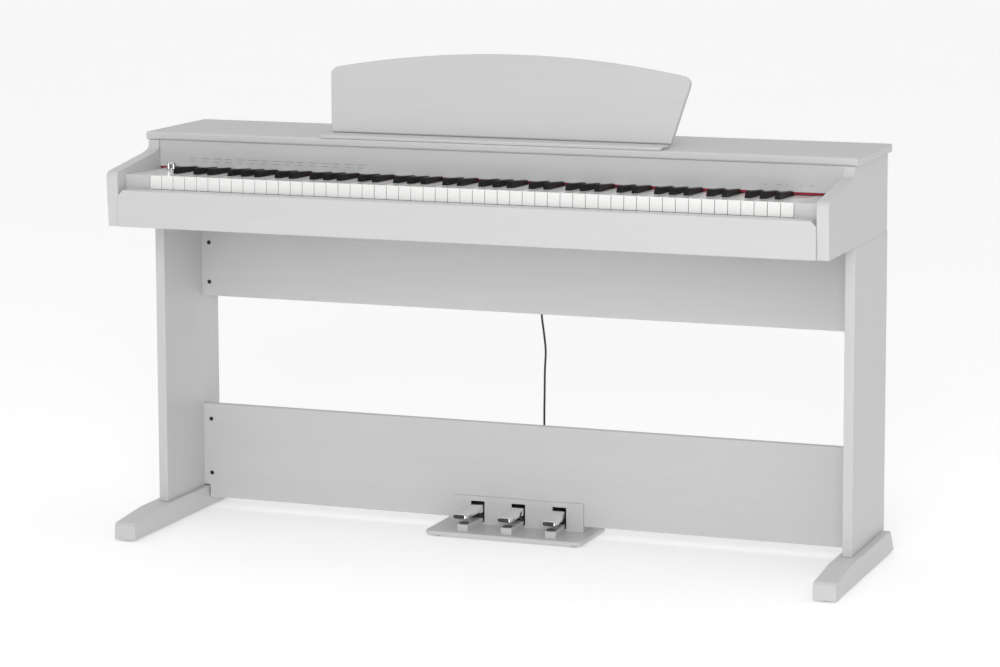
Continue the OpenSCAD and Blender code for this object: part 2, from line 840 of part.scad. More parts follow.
// a tube along a list of points; its rings face along the path
function ring(p, t, r, n) =
    let (ref = [0.6, -0.7, 0.4], u = cross(ref, t) / norm(cross(ref, t)), v = cross(t, u))
    [for (i = [0:n - 1]) p + r * (cos(360 * i / n) * u + sin(360 * i / n) * v)];
function heading(pts, i) =
    let (d = pts[min(i + 1, len(pts) - 1)] - pts[max(i - 1, 0)]) d / norm(d);

module tube(pts, r, n) {
    rings = len(pts);
    verts = [for (i = [0:rings - 1]) each ring(pts[i], heading(pts, i), r, n)];
    sides = [for (i = [0:rings - 2], j = [0:n - 1])
        let (a = i * n + j, b = i * n + (j + 1) % n) each [[a, b, b + n], [a, b + n, a + n]]];
    polyhedron(verts, concat([[for (j = [n - 1:-1:0]) j]], sides,
        [[for (j = [0:n - 1]) (rings - 1) * n + j]]), convexity = 10);
}

module pedal_spring(dx) {
    steps = 10;
    low = base_z + wire_r + spring_gap;
    high = spring_top - wire_r - spring_gap;
    count = spring_turns * steps;
    path = [for (i = [0:count]) [
        pedal_x + dx + spring_r * cos(360 * i / steps), spring_y + spring_r * sin(360 * i / steps),
        low + (high - low) * i / count]];
    color(steel) tube(path, wire_r, 6);
}

module left_pedal_spring() { pedal_spring(-pedal_pitch); }
module middle_pedal_spring() { pedal_spring(0); }
module right_pedal_spring() { pedal_spring(pedal_pitch); }

// ---- pedal cable ----

module cable_gland() {
    color(black_steel) translate([gland_x, box_back_y - box_wall, gland_z])
        rotate([-90, 0, 0]) rotate_extrude() polygon([
            [0, 0], [3.5, 0], [3.5, box_wall], [5.5, box_wall], [5, box_wall + 3],
            [2.6, box_wall + gland_len], [0, box_wall + gland_len]]);
}

// smooth curve through the route's points
function smooth(p, i, t) =
    let (a = p[max(i - 1, 0)], b = p[i], c = p[i + 1], d = p[min(i + 2, len(p) - 1)])
    0.5 * (2 * b + (c - a) * t + (2 * a - 5 * b + 4 * c - d) * t * t
        + (3 * b - a - 3 * c + d) * t * t * t);

module pedal_cable() {
    last = len(cable_route) - 1;
    path = concat([for (i = [0:last - 1], s = [0:cable_steps - 1])
        if (norm(cable_route[i + 1] - cable_route[i]) > 16 || s == 0)
            smooth(cable_route, i, s / cable_steps)], [cable_route[last]]);
    color(black_steel) tube(path, cable_r, cable_sides);
}

module cable_plug() {
    z0 = cabinet_z - socket_h;
    color(black_steel) translate([plug_x, plug_y, 0]) {
        translate([0, 0, 533]) rotate_extrude() polygon([
            [0, 0], [2.6, 0], [3.4, 12], [plug_r, 14], [plug_r, z0 - 533], [0, z0 - 533]]);
        translate([0, 0, z0 - cut]) cylinder(h = 14 + cut, r = pin_r);
    }
}

// ---- parts ----

lid();
left_side_panel();
right_side_panel();
key_slip();
end_blocks();
control_panel();
key_bed();
cabinet_back();
felt_strip();
keyboard_frame();
contact_strips();
circuit_boards();
speakers();
speaker_grilles();
socket_panel();
power_button();
volume_knob();
volume_pot();
white_keys(0, c4_key - 1);  // lower_white_keys
black_keys(0, c4_key - 1);  // lower_black_keys
white_keys(c4_key, c4_key);  // white_key_c4
black_keys(c4_key, c4_key);  // black_key_cs4
white_keys(c4_key + 1, c4_key + 1);  // white_key_d4
black_keys(c4_key + 1, c4_key + 1);  // black_key_ds4
white_keys(c4_key + 2, c4_key + 2);  // white_key_e4
white_keys(c4_key + 3, c4_key + 3);  // white_key_f4
black_keys(c4_key + 3, c4_key + 3);  // black_key_fs4
white_keys(c4_key + 4, c4_key + 4);  // white_key_g4
black_keys(c4_key + 4, c4_key + 4);  // black_key_gs4
white_keys(c4_key + 5, c4_key + 5);  // white_key_a4
black_keys(c4_key + 5, c4_key + 5);  // black_key_as4
white_keys(c4_key + 6, c4_key + 6);  // white_key_b4
white_keys(c4_key + 7, white_count - 1);  // upper_white_keys
black_keys(c4_key + 7, white_count - 2);  // upper_black_keys
music_ledge();
music_board();
fixed_hinge_leaves();
board_hinge_leaves();
left_leg();
right_leg();
left_foot();
right_foot();
upper_back_panel();
lower_back_panel();
corner_brackets();
panel_screws();
foot_glides();
pedal_box();
pedal_base();
pedal_pads();
pedal_shaft();
left_pedal();
middle_pedal();
right_pedal();
left_pedal_spring();
middle_pedal_spring();
right_pedal_spring();
cable_gland();
pedal_cable();
cable_plug();
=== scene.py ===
import math
import bmesh
import bpy
import numpy as np
from mathutils import Matrix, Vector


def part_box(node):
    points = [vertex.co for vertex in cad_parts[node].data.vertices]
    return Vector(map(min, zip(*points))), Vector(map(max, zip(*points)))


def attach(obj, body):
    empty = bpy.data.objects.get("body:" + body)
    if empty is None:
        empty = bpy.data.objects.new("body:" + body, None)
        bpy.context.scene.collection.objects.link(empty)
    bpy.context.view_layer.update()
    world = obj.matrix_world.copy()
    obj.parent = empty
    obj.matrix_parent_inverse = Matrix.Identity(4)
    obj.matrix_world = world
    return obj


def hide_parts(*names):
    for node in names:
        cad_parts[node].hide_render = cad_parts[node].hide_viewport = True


# Digital piano on its stand. Metres; +X to the treble, +Y to the back, +Z up.

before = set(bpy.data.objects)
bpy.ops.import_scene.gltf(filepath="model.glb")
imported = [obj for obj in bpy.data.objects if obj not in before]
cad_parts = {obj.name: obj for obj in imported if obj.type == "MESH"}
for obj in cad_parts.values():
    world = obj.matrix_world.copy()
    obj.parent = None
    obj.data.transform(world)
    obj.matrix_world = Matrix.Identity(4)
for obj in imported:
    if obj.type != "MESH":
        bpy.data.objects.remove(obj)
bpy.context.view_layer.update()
print("frame loaded:", len(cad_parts), "nodes")
mm = 0.001

viewpoint = {
    "lens": 116.4,                     # on a 36 mm wide sensor
    "shift": -0.12,
    "spot": (2.0732, -5.4741, 1.3822),
    "turn": 20.692,                    # degrees to the left of +Y
    "dip": 7.383,                      # degrees below the horizon
    "roll": -0.17,
}


def makeCamera(v):
    turn, dip, roll = (math.radians(v[k]) for k in ("turn", "dip", "roll"))
    right = np.array([math.cos(turn), math.sin(turn), 0])
    ahead = np.array([-math.sin(turn) * math.cos(dip), math.cos(turn) * math.cos(dip), -math.sin(dip)])
    up = np.cross(right, ahead)
    across = right * math.cos(roll) + up * math.sin(roll)
    above = up * math.cos(roll) - right * math.sin(roll)
    data = bpy.data.cameras.new("camera")
    data.lens = v["lens"]
    data.sensor_width = 36
    data.shift_y = v["shift"]
    data.clip_end = 60
    camera = bpy.data.objects.new("camera", data)
    bpy.context.scene.collection.objects.link(camera)
    matrix = np.eye(4)
    matrix[:3, 0], matrix[:3, 1], matrix[:3, 2], matrix[:3, 3] = across, above, -ahead, v["spot"]
    camera.matrix_world = Matrix(matrix.tolist())
    bpy.context.scene.camera = camera


makeCamera(viewpoint)
print("camera placed")


class Value:                           # a number socket; sums and products add Math nodes
    def __init__(self, finish, socket):
        self.finish = finish
        self.socket = socket

    def math(self, operation, first, second):
        return self.finish.number("ShaderNodeMath", {"operation": operation}, {0: first, 1: second})

    def __add__(self, other):
        return self.math("ADD", self, other)

    def __radd__(self, other):
        return self.math("ADD", other, self)

    def __sub__(self, other):
        return self.math("SUBTRACT", self, other)

    def __rsub__(self, other):
        return self.math("SUBTRACT", other, self)

    def __mul__(self, other):
        return self.math("MULTIPLY", self, other)

    def __rmul__(self, other):
        return self.math("MULTIPLY", other, self)

    def __pow__(self, other):
        return self.math("POWER", self, other)

    def rise(self, first, last):       # 0 up to first, 1 from last on, a smooth step between
        return self.finish.number("ShaderNodeMapRange", {"interpolation_type": "SMOOTHSTEP"},
                                  {"Value": self, "From Min": first, "From Max": last})


class Finish:                          # one material and the nodes in it
    def __init__(self, name):
        self.block = bpy.data.materials.new(name)
        self.block.use_nodes = True
        self.tree = self.block.node_tree
        self.shader = next(n for n in self.tree.nodes if n.type == "BSDF_PRINCIPLED")

    def put(self, socket, value):
        if isinstance(value, Value):
            value = value.socket
        if isinstance(value, bpy.types.NodeSocket):
            self.tree.links.new(value, socket)
        else:
            socket.default_value = value

    def node(self, kind, settings=None, inputs=None, output=0):
        made = self.tree.nodes.new(kind)
        for name, value in (settings or {}).items():
            if name == "stops":
                while len(made.color_ramp.elements) < len(value):
                    made.color_ramp.elements.new(0.5)
                for element, (place, colour) in zip(made.color_ramp.elements, value):
                    element.position = place
                    element.color = (*colour, 1)
            else:
                setattr(made, name, value)
        for name, value in (inputs or {}).items():
            self.put(made.inputs[name], value)
        return made.outputs[output]

    def number(self, kind, settings=None, inputs=None, output=0):
        return Value(self, self.node(kind, settings, inputs, output))

    def place(self, stretch=(1, 1, 1)):
        where = self.node("ShaderNodeTexCoord", output="Object")
        return self.node("ShaderNodeMapping", None, {"Vector": where, "Scale": stretch})

    def noise(self, scale, detail=3, stretch=(1, 1, 1), rough=0.55):
        return self.number("ShaderNodeTexNoise", None, {
            "Vector": self.place(stretch), "Scale": scale, "Detail": detail, "Roughness": rough})

    def blend(self, share, first, second):
        colours = {6: (*first, 1) if isinstance(first, tuple) else first,
                   7: (*second, 1) if isinstance(second, tuple) else second, 0: share}
        return self.node("ShaderNodeMix", {"data_type": "RGBA"}, colours, output=2)

    def bump(self, height, depth, strength=1.0):
        return self.node("ShaderNodeBump", None, {"Height": height, "Distance": depth, "Strength": strength})

    def finish(self, **sockets):       # names as on the shader, with _ for a space
        for name, value in sockets.items():
            if isinstance(value, tuple) and len(value) == 3:
                value = (*value, 1)
            self.put(self.shader.inputs[name.replace("_", " ")], value)
        return self.block


whiteBoard = {
    "dark": (0.531, 0.535, 0.539), "light": (0.570, 0.570, 0.573),
    "poreLength": 14, "poreWidth": 420,  # waves in a metre along and across the grain
    "poreDepth": 0.00005, "roughness": 0.36,
}


def makeWhiteBoard(name, grain):       # white foil with a faint pressed wood grain along axis 0, 1 or 2
    f = Finish(name)
    stretch = [whiteBoard["poreWidth"]] * 3
    stretch[grain] = whiteBoard["poreLength"]
    pores = f.noise(1, 4, tuple(stretch), 0.6)
    broad = [s * 0.12 for s in stretch]
    broad[grain] = 2.0
    bands = f.noise(1, 2, tuple(broad))
    cloud = f.noise(2.3, 2)
    share = pores * 0.35 + bands * 0.4 + cloud * 0.25
    shades = [(0.3, whiteBoard["dark"]), (0.7, whiteBoard["light"])]
    colour = f.node("ShaderNodeValToRGB", {"stops": shades}, {"Fac": share})
    return f.finish(Base_Color=colour, Roughness=whiteBoard["roughness"] - 0.04 + pores * 0.09 + cloud * 0.04,
                    Normal=f.bump(pores * 0.7 + bands * 0.3, whiteBoard["poreDepth"], 0.5),
                    Specular_IOR_Level=0.45)


def makeKeyWhite():                    # moulded, polished, very slightly warm
    f = Finish("polished_white_key")
    cloud = f.noise(7, 3)
    scuffs = f.noise(1, 3, (260, 40, 260))
    colour = f.blend(cloud, (0.80, 0.80, 0.787), (0.85, 0.85, 0.84))
    return f.finish(Base_Color=colour, Roughness=0.13 + scuffs * 0.1 + cloud * 0.05,
                    Normal=f.bump(f.noise(90, 2), 0.00006, 0.35), Coat_Weight=0.35, Coat_Roughness=0.08)


def makeKeyBlack():                    # satin black with fine lengthwise brushing
    f = Finish("satin_black_key")
    brush = f.noise(1, 4, (1600, 60, 1600))
    cloud = f.noise(20, 2)
    colour = f.blend(brush * 0.6 + cloud * 0.4, (0.003, 0.003, 0.0032), (0.008, 0.008, 0.0085))
    return f.finish(Base_Color=colour, Roughness=0.30 + brush * 0.16 + cloud * 0.06,
                    Normal=f.bump(brush, 0.00003, 0.4), Specular_IOR_Level=0.22)


def makeFelt():
    f = Finish("crimson_felt")
    fibres = f.noise(1800, 4, rough=0.75)
    tufts = f.noise(260, 3)
    share = fibres * 0.6 + tufts * 0.4
    reds = [(0.25, (0.10, 0.003, 0.010)), (0.5, (0.30, 0.006, 0.022)), (0.75, (0.52, 0.035, 0.065))]
    colour = f.node("ShaderNodeValToRGB", {"stops": reds}, {"Fac": share})
    return f.finish(Base_Color=colour, Roughness=0.86 + tufts * 0.12, Normal=f.bump(share, 0.0004, 0.8),
                    Sheen_Weight=0.4, Sheen_Roughness=0.5)


def makeChrome():
    f = Finish("polished_chrome")
    # this noise is smudges where it raises the roughness; where it mottles the base colour it is painted
    # reflection, standing in for a cluttered room mirrored in the chrome
    smudge_and_painted_reflection = f.noise(18, 4, (1, 2.5, 1))
    fine = f.noise(420, 2)
    colour = f.blend(smudge_and_painted_reflection, (0.74, 0.745, 0.755), (0.92, 0.92, 0.925))
    return f.finish(Base_Color=colour, Metallic=1.0, Roughness=0.035 + smudge_and_painted_reflection ** 3 * 0.2 + fine * 0.02,
                    Normal=f.bump(f.noise(150, 2), 0.0006, 0.35))


def makeZinc(name="zinc_steel", tone=0.52):
    f = Finish(name)
    flakes = f.number("ShaderNodeTexVoronoi", None, {"Vector": f.place(), "Scale": 330.0}, "Distance")
    cloud = f.noise(30, 3)
    colour = f.blend(flakes * 0.5 + cloud * 0.5, (tone * 0.85, tone * 0.86, tone * 0.88), (tone * 1.25,) * 3)
    return f.finish(Base_Color=colour, Metallic=1.0, Roughness=0.26 + flakes * 0.2 + cloud * 0.1,
                    Normal=f.bump(flakes, 0.00004, 0.3))


def makeDark(name, tone, roughness, grainScale, depth):  # powder coat, plastic and rubber
    f = Finish(name)
    grain = f.noise(grainScale, 3)
    cloud = f.noise(15, 3)
    low, high = tuple(c * 0.75 for c in tone), tuple(c * 1.35 + 0.002 for c in tone)
    return f.finish(Base_Color=f.blend(grain * 0.4 + cloud * 0.6, low, high),
                    Roughness=roughness - 0.08 + grain * 0.1 + cloud * 0.07, Normal=f.bump(grain, depth, 0.5))


def makeCircuitBoard():                # green mask with paler tracks and bright pads
    f = Finish("green_circuit_board")
    tracks = f.number("ShaderNodeTexBrick", {"offset": 0.5}, {
        "Vector": f.place(), "Scale": 60.0, "Mortar Size": 0.06, "Color1": (0, 0, 0, 1),
        "Color2": (0, 0, 0, 1), "Mortar": (1, 1, 1, 1)})
    dots = 0.22 - f.number("ShaderNodeTexVoronoi", None, {"Vector": f.place(), "Scale": 150.0}, "Distance")
    pads = f.number("ShaderNodeMath", {"operation": "GREATER_THAN"}, {0: dots, 1: 0.0})
    base = f.blend(tracks * 0.8, (0.012, 0.085, 0.035), (0.03, 0.20, 0.09))
    return f.finish(Base_Color=f.blend(pads, base, (0.62, 0.60, 0.52)), Roughness=0.42 - tracks * 0.1,
                    Normal=f.bump(tracks + pads, 0.00005, 0.4))


def makePrint():
    f = Finish("grey_print")
    wear = f.noise(900, 3)
    return f.finish(Base_Color=f.blend(wear, (0.25, 0.25, 0.26), (0.33, 0.33, 0.34)),
                    Roughness=0.5 + wear * 0.1)


def makeFloor(glow):                   # lit from below like a white studio sweep
    f = Finish("pale_floor")
    cloud = f.noise(1.4, 3)
    return f.finish(Base_Color=f.blend(cloud, (0.83, 0.83, 0.83), (0.85, 0.85, 0.85)),
                    Roughness=0.7 + cloud * 0.1, Specular_IOR_Level=0.2,
                    Emission_Color=(1.0, 1.0, 1.0), Emission_Strength=glow)


class Sky(Finish):                     # the same helpers on the world's nodes
    def __init__(self, name):
        self.block = bpy.data.worlds.new(name)
        self.block.use_nodes = True
        self.tree = self.block.node_tree
        self.shader = self.tree.nodes["Background"]


boardAlongX = makeWhiteBoard("white_board_x", 0)
boardAlongY = makeWhiteBoard("white_board_y", 1)
boardAlongZ = makeWhiteBoard("white_board_z", 2)
keyWhite, keyBlack, felt = makeKeyWhite(), makeKeyBlack(), makeFelt()
chrome, zinc, circuitBoard, greyPrint = makeChrome(), makeZinc(), makeCircuitBoard(), makePrint()
nickel = makeZinc("nickel_fittings", 0.66)
blackCoat = makeDark("black_powder_coat", (0.011, 0.011, 0.012), 0.52, 1500, 0.00006)
blackPlastic = makeDark("black_plastic", (0.014, 0.014, 0.015), 0.45, 2200, 0.00005)
greyPlastic = makeDark("grey_plastic", (0.10, 0.10, 0.105), 0.42, 1900, 0.00005)
rubber = makeDark("black_rubber", (0.012, 0.012, 0.012), 0.75, 900, 0.0001)
greyRubber = makeDark("grey_silicone", (0.085, 0.085, 0.09), 0.62, 1200, 0.00005)
jacket = makeDark("cable_jacket", (0.010, 0.010, 0.010), 0.36, 700, 0.00004)
cone = makeDark("speaker_cone", (0.020, 0.019, 0.018), 0.85, 1300, 0.0002)
print("finishes made")


def unit(v):                           # each vector divided by its length
    return v / np.maximum(np.linalg.norm(v, axis=-1, keepdims=True), 1e-12)


def gridFaces(rings, around):          # quads between neighbouring rings
    i, j = np.meshgrid(np.arange(rings - 1), np.arange(around), indexing="ij")
    a, b = i * around + j, i * around + (j + 1) % around
    return np.stack([a, b, b + around, a + around], -1).reshape(-1, 4).tolist()


def closedTube(grid):                  # (rings, around, 3) points: side quads and a flat face at each end
    rings, around = grid.shape[:2]
    faces = gridFaces(rings, around)
    faces.append(list(range(around)))
    faces.append([(rings - 1) * around + j for j in range(around)])
    return grid.reshape(-1, 3), faces


def gather(shapes):                    # several (points, faces) shapes as one
    starts = np.cumsum([0] + [len(points) for points, _ in shapes])
    faces = [[v + int(s) for v in face] for s, (_, group) in zip(starts, shapes) for face in group]
    return np.concatenate([points for points, _ in shapes]), faces


def roundedOutline(points, radii, steps=4):
    # each corner becomes the arc that touches both its sides: the arc's centre lies on the bisector,
    # radius / sin(half angle) from the corner, and the arc turns from one touching point to the other
    p = np.array(points, float)
    r = np.broadcast_to(np.array(radii, float), len(p))[:, None]
    a, b = unit(np.roll(p, 1, 0) - p), unit(np.roll(p, -1, 0) - p)
    half = np.arccos(np.clip((a * b).sum(1, keepdims=True), -1, 1)) / 2
    centre = p + unit(a + b) * r / np.sin(half)
    start, end = p + a * r / np.tan(half) - centre, p + b * r / np.tan(half) - centre
    span = (np.pi - 2 * half)[:, :, None]
    t = np.linspace(0, 1, steps + 1)[None, :, None]
    spoke = (np.sin((1 - t) * span) * start[:, None] + np.sin(t * span) * end[:, None]) / np.sin(span)
    return (centre[:, None] + spoke).reshape(-1, 2)


def insetOutline(outline, inset):
    # each point of a counter-clockwise outline moves in along the bisector of its two sides
    before, after = unit(outline - np.roll(outline, 1, 0)), unit(np.roll(outline, -1, 0) - outline)
    n1 = np.stack([-before[:, 1], before[:, 0]], 1)
    n2 = np.stack([-after[:, 1], after[:, 0]], 1)
    return outline + inset * (n1 + n2) / (1 + (n1 * n2).sum(1, keepdims=True))


def softPrism(outline, low, high, edge, axis, steps=3):
    # the outline carried from low to high along axis 0, 1 or 2; near both ends it shrinks along a
    # quarter circle of radius edge, which rounds the rims
    turn = np.linspace(0, np.pi / 2, steps + 1)
    inset, rise = edge * (1 - np.sin(turn)), edge * (1 - np.cos(turn))
    insets = np.concatenate([inset, inset[::-1]])
    heights = np.concatenate([low + rise, (high - rise)[::-1]])
    flat = np.stack([insetOutline(outline, i) for i in insets])
    grid = np.zeros((*flat.shape[:2], 3))
    grid[..., [k for k in range(3) if k != axis]] = flat
    grid[..., axis] = heights[:, None]
    return closedTube(grid)


def softBox(low, high, edge, corner=None, axis=0, steps=3):
    # a box whose outline across the axis has round corners and whose rims are rounded
    sides = [k for k in range(3) if k != axis]
    (a0, b0), (a1, b1) = (low[sides[0]], low[sides[1]]), (high[sides[0]], high[sides[1]])
    corner = edge * 1.3 if corner is None else corner
    outline = roundedOutline([(a0, b0), (a1, b0), (a1, b1), (a0, b1)], corner)
    return softPrism(outline, low[axis], high[axis], edge, axis, steps)


def turned(profile, centre, axis=2, steps=48, ribs=0, ribDepth=0.0, ribSpan=None):
    # a profile of (radius, height) turned round the axis; inside ribSpan the radius swells and sinks
    # with the cosine of ribs times the angle
    profile = np.array(profile, float)
    angle = np.linspace(0, 2 * np.pi, steps, endpoint=False)
    radius = np.repeat(profile[:, :1], steps, 1)
    if ribs:
        radii, heights = profile.T
        inside = (heights >= ribSpan[0]) & (heights <= ribSpan[1]) & (radii > ribDepth * 3)
        radius = radius - ribDepth * (0.5 + 0.5 * np.cos(ribs * angle))[None] * inside[:, None]
    a, b = radius * np.cos(angle), radius * np.sin(angle)
    h = np.repeat(profile[:, 1:], steps, 1)
    grid = np.stack({0: (h, a, b), 1: (b, h, a), 2: (a, b, h)}[axis], -1) + np.array(centre)
    return closedTube(grid)


def sweptTube(path, radius, sides, flat=(0.6, -0.7, 0.4)):
    # a circle square to the path's direction at each point; flat fixes where its first point lies
    along = unit(np.gradient(path, axis=0))
    u = unit(np.cross(np.array(flat), along))
    v = np.cross(along, u)
    angle = np.linspace(0, 2 * np.pi, sides, endpoint=False)[None, :, None]
    r = np.broadcast_to(np.array(radius, float), len(path))[:, None, None]
    return closedTube(path[:, None] + r * (np.cos(angle) * u[:, None] + np.sin(angle) * v[:, None]))


def addPiece(name, shape, material, body="piano", replaces=(), sharp=35):
    points, faces = shape
    mesh = bpy.data.meshes.new(name)
    mesh.from_pydata(points.tolist(), [], faces)
    work = bmesh.new()
    work.from_mesh(mesh)
    bmesh.ops.recalc_face_normals(work, faces=work.faces)
    work.to_mesh(mesh)
    work.free()
    mesh.shade_smooth()
    mesh.set_sharp_from_angle(angle=math.radians(sharp))
    mesh.materials.append(material)
    piece = bpy.data.objects.new(name, mesh)
    bpy.context.scene.collection.objects.link(piece)
    flat = piece.modifiers.new("flat_faces", "WEIGHTED_NORMAL")
    flat.keep_sharp = True
    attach(piece, body)
    if replaces:
        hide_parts(*replaces)
    return piece


def softCopy(node, width, material, body="piano"):  # a merged copy of a CAD node with its edges broken
    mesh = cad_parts[node].data.copy()
    work = bmesh.new()
    work.from_mesh(mesh)
    bmesh.ops.remove_doubles(work, verts=work.verts, dist=1e-5)
    bmesh.ops.dissolve_limit(work, angle_limit=math.radians(1), verts=work.verts, edges=work.edges)
    work.to_mesh(mesh)
    work.free()
    mesh.materials.clear()
    mesh.materials.append(material)
    piece = bpy.data.objects.new(node + "_soft", mesh)
    bpy.context.scene.collection.objects.link(piece)
    bevel = piece.modifiers.new("broken_edges", "BEVEL")
    bevel.width = width
    bevel.segments = 2
    bevel.limit_method = "ANGLE"
    bevel.angle_limit = math.radians(40)
    mesh.shade_smooth()
    mesh.set_sharp_from_angle(angle=math.radians(35))
    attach(piece, body)
    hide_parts(node)
    return piece


def corners(node):
    low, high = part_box(node)
    return np.array(low), np.array(high)


cable = {
    "diameter": 4 * mm, "sides": 12, "fill": 7,  # fill is the points between two of the route's
    "reliefLength": 12 * mm, "gripEnd": 39 * mm,  # of the plug, from its lower end
    "route": [
        (-100, 202, 36), (-100, 205, 36), (-100, 210, 34), (-100, 214, 28), (-100, 216, 20),
        (-98, 216, 11), (-92, 216, 5), (-84, 216, 2.4), (-66, 215, 2.2), (-46, 214, 2.2),
        (-24, 213, 2.2), (-4, 212, 2.4), (8, 211, 5), (17, 210, 12), (21, 209, 24),
        (22, 208, 45), (21, 206, 80), (19, 204, 120), (18, 203, 165), (18, 202, 210),
        (19, 201, 255), (20, 200, 300), (22, 199, 338), (19, 198, 372), (15, 197, 405),
        (14, 194, 445), (16, 188, 480), (20, 178, 508), (22, 172.5, 521), (22, 172, 528), (22, 172, 533)],
}


def smoothRoute(points, fill):
    # a cubic through four neighbouring points at a time, so the curve passes all of them
    p = np.array(points, float) * mm
    a, b, c, d = (p[np.clip(np.arange(len(p) - 1) + k, 0, len(p) - 1)][:, None] for k in (-1, 0, 1, 2))
    t = np.linspace(0, 1, fill, endpoint=False)[None, :, None]
    curve = 0.5 * (2 * b + (c - a) * t + (2 * a - 5 * b + 4 * c - d) * t ** 2
                   + (3 * b - a - 3 * c + d) * t ** 3)
    return np.concatenate([curve.reshape(-1, 3), p[-1:]])


def makeCable():
    line = smoothRoute(cable["route"], cable["fill"])
    piece = addPiece("pedal_cable_jacket", sweptTube(line, cable["diameter"] / 2, cable["sides"]), jacket,
                     replaces=["pedal_cable"], sharp=60)
    low, high = corners("cable_plug")
    x, y = (low[0] + high[0]) / 2, (low[1] + high[1]) / 2
    r, top = (high[0] - low[0]) / 2, high[2]
    reliefTop, gripTop = low[2] + cable["reliefLength"], low[2] + cable["gripEnd"]
    ribbed = [(2.2 * mm + 1.1 * mm * s + (0.35 * mm if k % 2 else 0), low[2] + s * cable["reliefLength"])
              for k, s in enumerate(np.linspace(0, 1, 13))]
    grip = [(r * 0.82, reliefTop + 0.6 * mm), (r, reliefTop + 2.5 * mm)]
    grip += [(r, h) for h in np.linspace(reliefTop + 4 * mm, gripTop - 3 * mm, 12)] + [(r, gripTop - 0.1 * mm)]
    body = turned([(0, low[2])] + ribbed + grip + [(0, gripTop - 0.1 * mm)], (x, y, 0), steps=48, ribs=16,
                  ribDepth=0.35 * mm, ribSpan=(reliefTop + 3 * mm, gripTop - 2 * mm))
    tip = turned([(0, gripTop - 0.3 * mm), (1.75 * mm, gripTop - 0.3 * mm), (1.75 * mm, top - 3 * mm),
                  (1.2 * mm, top - 2.2 * mm), (1.6 * mm, top - 1.2 * mm), (0.5 * mm, top), (0, top)],
                 (x, y, 0), steps=24)
    plug = addPiece("cable_plug_grip", body, blackPlastic, replaces=["cable_plug"])
    addPiece("cable_plug_tip", tip, nickel)
    low, high = corners("cable_gland")
    x, z = (low[0] + high[0]) / 2, (low[2] + high[2]) / 2
    start = low[1] + 6 * mm
    rings = [(2.6 * mm + 2.3 * mm * (1 - s) + (0.4 * mm if k % 2 else 0), start + s * (high[1] - start))
             for k, s in enumerate(np.linspace(0, 1, 11))]
    flange = [(0, low[1]), (3.4 * mm, low[1]), (3.4 * mm, low[1] + 3 * mm), (5.3 * mm, low[1] + 3.1 * mm),
              (5.5 * mm, low[1] + 4 * mm), (5.2 * mm, low[1] + 5.6 * mm)]
    addPiece("cable_strain_relief", turned(flange + rings + [(0, high[1])], (x, 0, z), axis=1, steps=32), rubber,
             replaces=["cable_gland"])


makeCable()

cabinet = {
    "lidNose": 5 * mm, "rim": 1.2 * mm, "lidRim": 2.2 * mm,
    "armHeight": 102 * mm, "armRise": 24 * mm, "armBend": 14 * mm, "armCorner": 12 * mm,
    "slipCut": 10 * mm, "slipRim": 2.0 * mm,
}


def arcPoints(cx, cy, r, first, last, steps):  # a circle's points at equal angles, first to last in degrees
    a = np.radians(np.linspace(first, last, steps + 1))
    return np.stack([cx + r * np.cos(a), cy + r * np.sin(a)], 1)


def sideOutline():                     # arm in front, rising to the upright front under the lid
    low, high = corners("right_side_panel")
    panelY = corners("control_panel")[0][1]
    armTop = low[2] + cabinet["armHeight"]
    bend, corner = cabinet["armBend"], cabinet["armCorner"]
    upright = arcPoints(panelY - 3 * mm - bend, armTop + cabinet["armRise"] + bend - 2 * mm, bend, 0, -78, 8)
    nose = arcPoints(low[1] + corner, armTop - corner, corner, 96, 180, 8)
    back = roundedOutline([(low[1], low[2]), (high[1], low[2]), (high[1], high[2]), (panelY - 3 * mm, high[2]),
                           (panelY - 8 * mm, high[2] - 30 * mm)], 2 * mm, 3)
    slope = [(panelY - 30 * mm, armTop + cabinet["armRise"] - 5.2 * mm)]
    return np.concatenate([back[:16], upright, slope, nose])  # back's last corner only shapes its neighbours


def makeCabinet():
    low, high = corners("lid")
    nose = cabinet["lidNose"]
    outline = roundedOutline([(low[1], low[2]), (high[1], low[2]), (high[1], high[2]), (low[1], high[2])],
                             [nose, 2.5 * mm, 2.5 * mm, nose], 8)
    addPiece("lid_board", softPrism(outline, low[0], high[0], cabinet["lidRim"], 0, 4), boardAlongX,
             replaces=["lid"])
    for side in ("left", "right"):
        low, high = corners(side + "_side_panel")
        addPiece(side + "_arm", softPrism(sideOutline(), low[0], high[0], cabinet["rim"], 0), boardAlongY,
                 replaces=[side + "_side_panel"])
    low, high = corners("key_slip")
    c = cabinet["slipCut"]
    outline = roundedOutline([(low[0], low[2]), (high[0], low[2]), (high[0], high[2] - c), (high[0] - c, high[2]),
                              (low[0] + c, high[2]), (low[0], high[2] - c)], 3 * mm)
    addPiece("key_slip_rail", softPrism(outline, low[1], high[1], cabinet["slipRim"], 1, 4), boardAlongX,
             replaces=["key_slip"])
    low, high = corners("control_panel")
    addPiece("control_board", softBox(low, high, 0.9 * mm), boardAlongX, replaces=["control_panel"])
    softCopy("end_blocks", 0.4 * mm, boardAlongY)
    softCopy("key_bed", 0.6 * mm, boardAlongX)
    softCopy("cabinet_back", 0.8 * mm, boardAlongX)


makeCabinet()
print("cabinet done")

feltStrip = {"steps": 900, "fuzz": 0.22 * mm, "round": 1.4 * mm}


